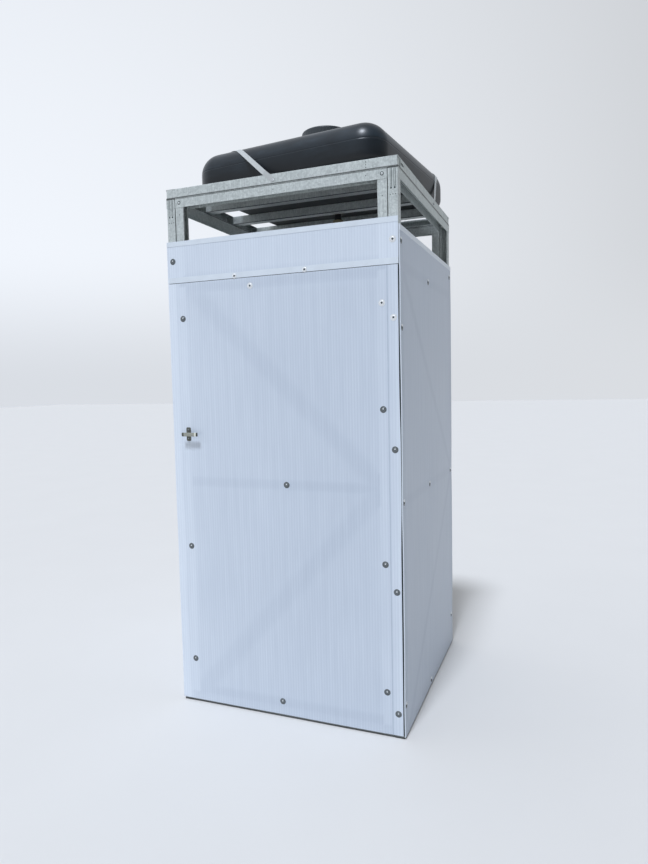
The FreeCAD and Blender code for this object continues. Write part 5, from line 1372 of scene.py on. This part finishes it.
class SHOWER_CABIN_OT_plumbing(bpy.types.Operator):
    """Gives the outlet, the valve, the shower rose and the seals their finishes"""

    bl_idname = "shower_cabin.plumbing"
    bl_label = "Plumbing"

    def execute(self, context):
        plumbing = context.scene.shower_cabin.plumbing
        dress(plain("nickel_washed_brass", plumbing.brass), "valve_brass")
        dress(plain("chrome_plate", plumbing.chrome), "chrome")
        dress(plain("vinyl_dipped_steel", plumbing.lever), "lever_paint")
        dress(plain("black_polypropylene", plumbing.fitting), "fitting_plastic")
        dress(plain("moulded_rubber", plumbing.rubber), "seal_rubber")
        return {"FINISHED"}


class SHOWER_CABIN_OT_stage(bpy.types.Operator):
    """Makes the pale floor, the soft lights and the camera at the photograph's view"""

    bl_idname = "shower_cabin.stage"
    bl_label = "Stage"

    def execute(self, context):
        stage = context.scene.shower_cabin.stage
        self.floor(stage)
        self.lights(context.scene, stage)
        self.camera(context.scene, stage)
        context.scene.view_settings.view_transform = "Standard"
        return {"FINISHED"}

    @staticmethod
    def floor(stage):
        """A level grid just under the cabin's feet."""
        steps = np.linspace(-stage.floor_size, stage.floor_size, 9)
        x, y = np.meshgrid(steps, steps)
        points = np.stack([x, y, np.full_like(x, -0.5 * MM)], axis=-1).reshape(-1, 3)
        mesh = bpy.data.meshes.new("studio_floor")
        mesh.from_pydata(points.tolist(), [], grid_faces(len(steps), len(steps), closed=False).tolist())
        mesh.materials.append(plain("matt_studio_floor", stage.floor))
        piece = bpy.data.objects.new("studio_floor", mesh)
        bpy.context.scene.collection.objects.link(piece)

    @staticmethod
    def lights(scene, stage):
        """A pale surround, dimmer to the right and brighter to the back, and a far light high in front."""
        world = bpy.data.worlds.new("studio_surround")
        world.use_nodes = True
        tree = world.node_tree
        way = add(tree, "SeparateXYZ", {"Vector": add(tree, "TexCoord").outputs["Generated"]}).outputs
        share = add(tree, "MapRange", {"Value": way["X"], "From Min": -1.0, "From Max": stage.sky_turn})
        tint = add(tree, "Mix", {0: share, 6: stage.sky, 7: stage.bounce}, data_type="RGBA")
        strength = add(tree, "MapRange", {
            "Value": share, "To Min": stage.sky_left, "To Max": stage.sky_right,
        })
        back = add(tree, "MapRange", {"Value": way["Y"], "To Max": stage.sky_back})
        strength = add(tree, "Math", {0: strength, 1: back}, operation="ADD")
        above = {"Value": way["Z"], "From Max": stage.horizon_blur}
        raised = add(tree, "MapRange", above, interpolation_type="SMOOTHSTEP")
        strength = add(tree, "Mix", {0: raised, 2: stage.horizon, 3: strength})
        fill(tree, tree.nodes["Background"], {"Color": tint, "Strength": strength})
        scene.world = world
        data = bpy.data.lights.new("key_light", "SUN")
        data.energy = stage.key
        data.color = stage.key_colour[:3]
        data.angle = stage.key_size
        level = math.cos(stage.key_height)
        towards = Vector((
            level * math.sin(stage.key_turn), -level * math.cos(stage.key_turn), math.sin(stage.key_height),
        ))
        lamp = bpy.data.objects.new("key_light", data)
        lamp.rotation_euler = (-towards).to_track_quat("-Z", "Y").to_euler()
        scene.collection.objects.link(lamp)

    @staticmethod
    def camera(scene, stage):
        """The photograph's camera: its place, its right and up, and its focal length over the longer side."""
        data = bpy.data.cameras.new("photo_camera")
        data.sensor_width = SENSOR
        data.lens = stage.focal / IMAGE_HEIGHT * SENSOR
        right = Vector(stage.camera_right).normalized()
        behind = right.cross(Vector(stage.camera_up)).normalized()
        up = behind.cross(right)
        camera = bpy.data.objects.new("photo_camera", data)
        turned = Matrix((right, up, behind)).transposed().to_4x4()
        camera.matrix_world = Matrix.Translation(Vector(stage.camera_place)) @ turned
        scene.collection.objects.link(camera)
        scene.camera = camera


class SHOWER_CABIN_PT_pieces(bpy.types.Panel):
    """Lists the cabin's pieces"""

    bl_idname = "SHOWER_CABIN_PT_pieces"
    bl_label = "Shower cabin"
    bl_space_type = "VIEW_3D"
    bl_region_type = "UI"
    bl_category = "Shower cabin"

    def draw(self, context):
        for operator in OPERATORS:
            self.layout.operator(operator.bl_idname)


SETTINGS = (
    CabinSheetSettings, CabinSteelSettings, CabinTankSettings, CabinFixingSettings, CabinLatchSettings,
    CabinPlumbingSettings, CabinStageSettings, CabinSettings,
)
OPERATORS = (
    SHOWER_CABIN_OT_steel_frame, SHOWER_CABIN_OT_sheets, SHOWER_CABIN_OT_door_fold,
    SHOWER_CABIN_OT_edge_trims, SHOWER_CABIN_OT_gap_shade, SHOWER_CABIN_OT_tank, SHOWER_CABIN_OT_lid,
    SHOWER_CABIN_OT_straps, SHOWER_CABIN_OT_screws, SHOWER_CABIN_OT_rivets,
    SHOWER_CABIN_OT_pressed_marks, SHOWER_CABIN_OT_latch, SHOWER_CABIN_OT_plumbing,
    SHOWER_CABIN_OT_stage,
)
CLASSES = (*SETTINGS, *OPERATORS, SHOWER_CABIN_PT_pieces)


def register():
    for kind in CLASSES:
        bpy.utils.register_class(kind)
    bpy.types.Scene.shower_cabin = group(CabinSettings, "Shower cabin", "The cabin's sizes and colours")


def unregister():
    del bpy.types.Scene.shower_cabin
    for kind in reversed(CLASSES):
        bpy.utils.unregister_class(kind)


def main():
    register()
    bpy.ops.shower_cabin.steel_frame()
    bpy.ops.shower_cabin.sheets()
    bpy.ops.shower_cabin.door_fold()
    bpy.ops.shower_cabin.edge_trims()
    bpy.ops.shower_cabin.gap_tape()
    bpy.ops.shower_cabin.tank()
    bpy.ops.shower_cabin.lid()
    bpy.ops.shower_cabin.straps()
    bpy.ops.shower_cabin.screws()
    bpy.ops.shower_cabin.rivets()
    bpy.ops.shower_cabin.pressed_marks()
    bpy.ops.shower_cabin.latch()
    bpy.ops.shower_cabin.plumbing()
    bpy.ops.shower_cabin.stage()


if __name__ == "__main__":
    main()
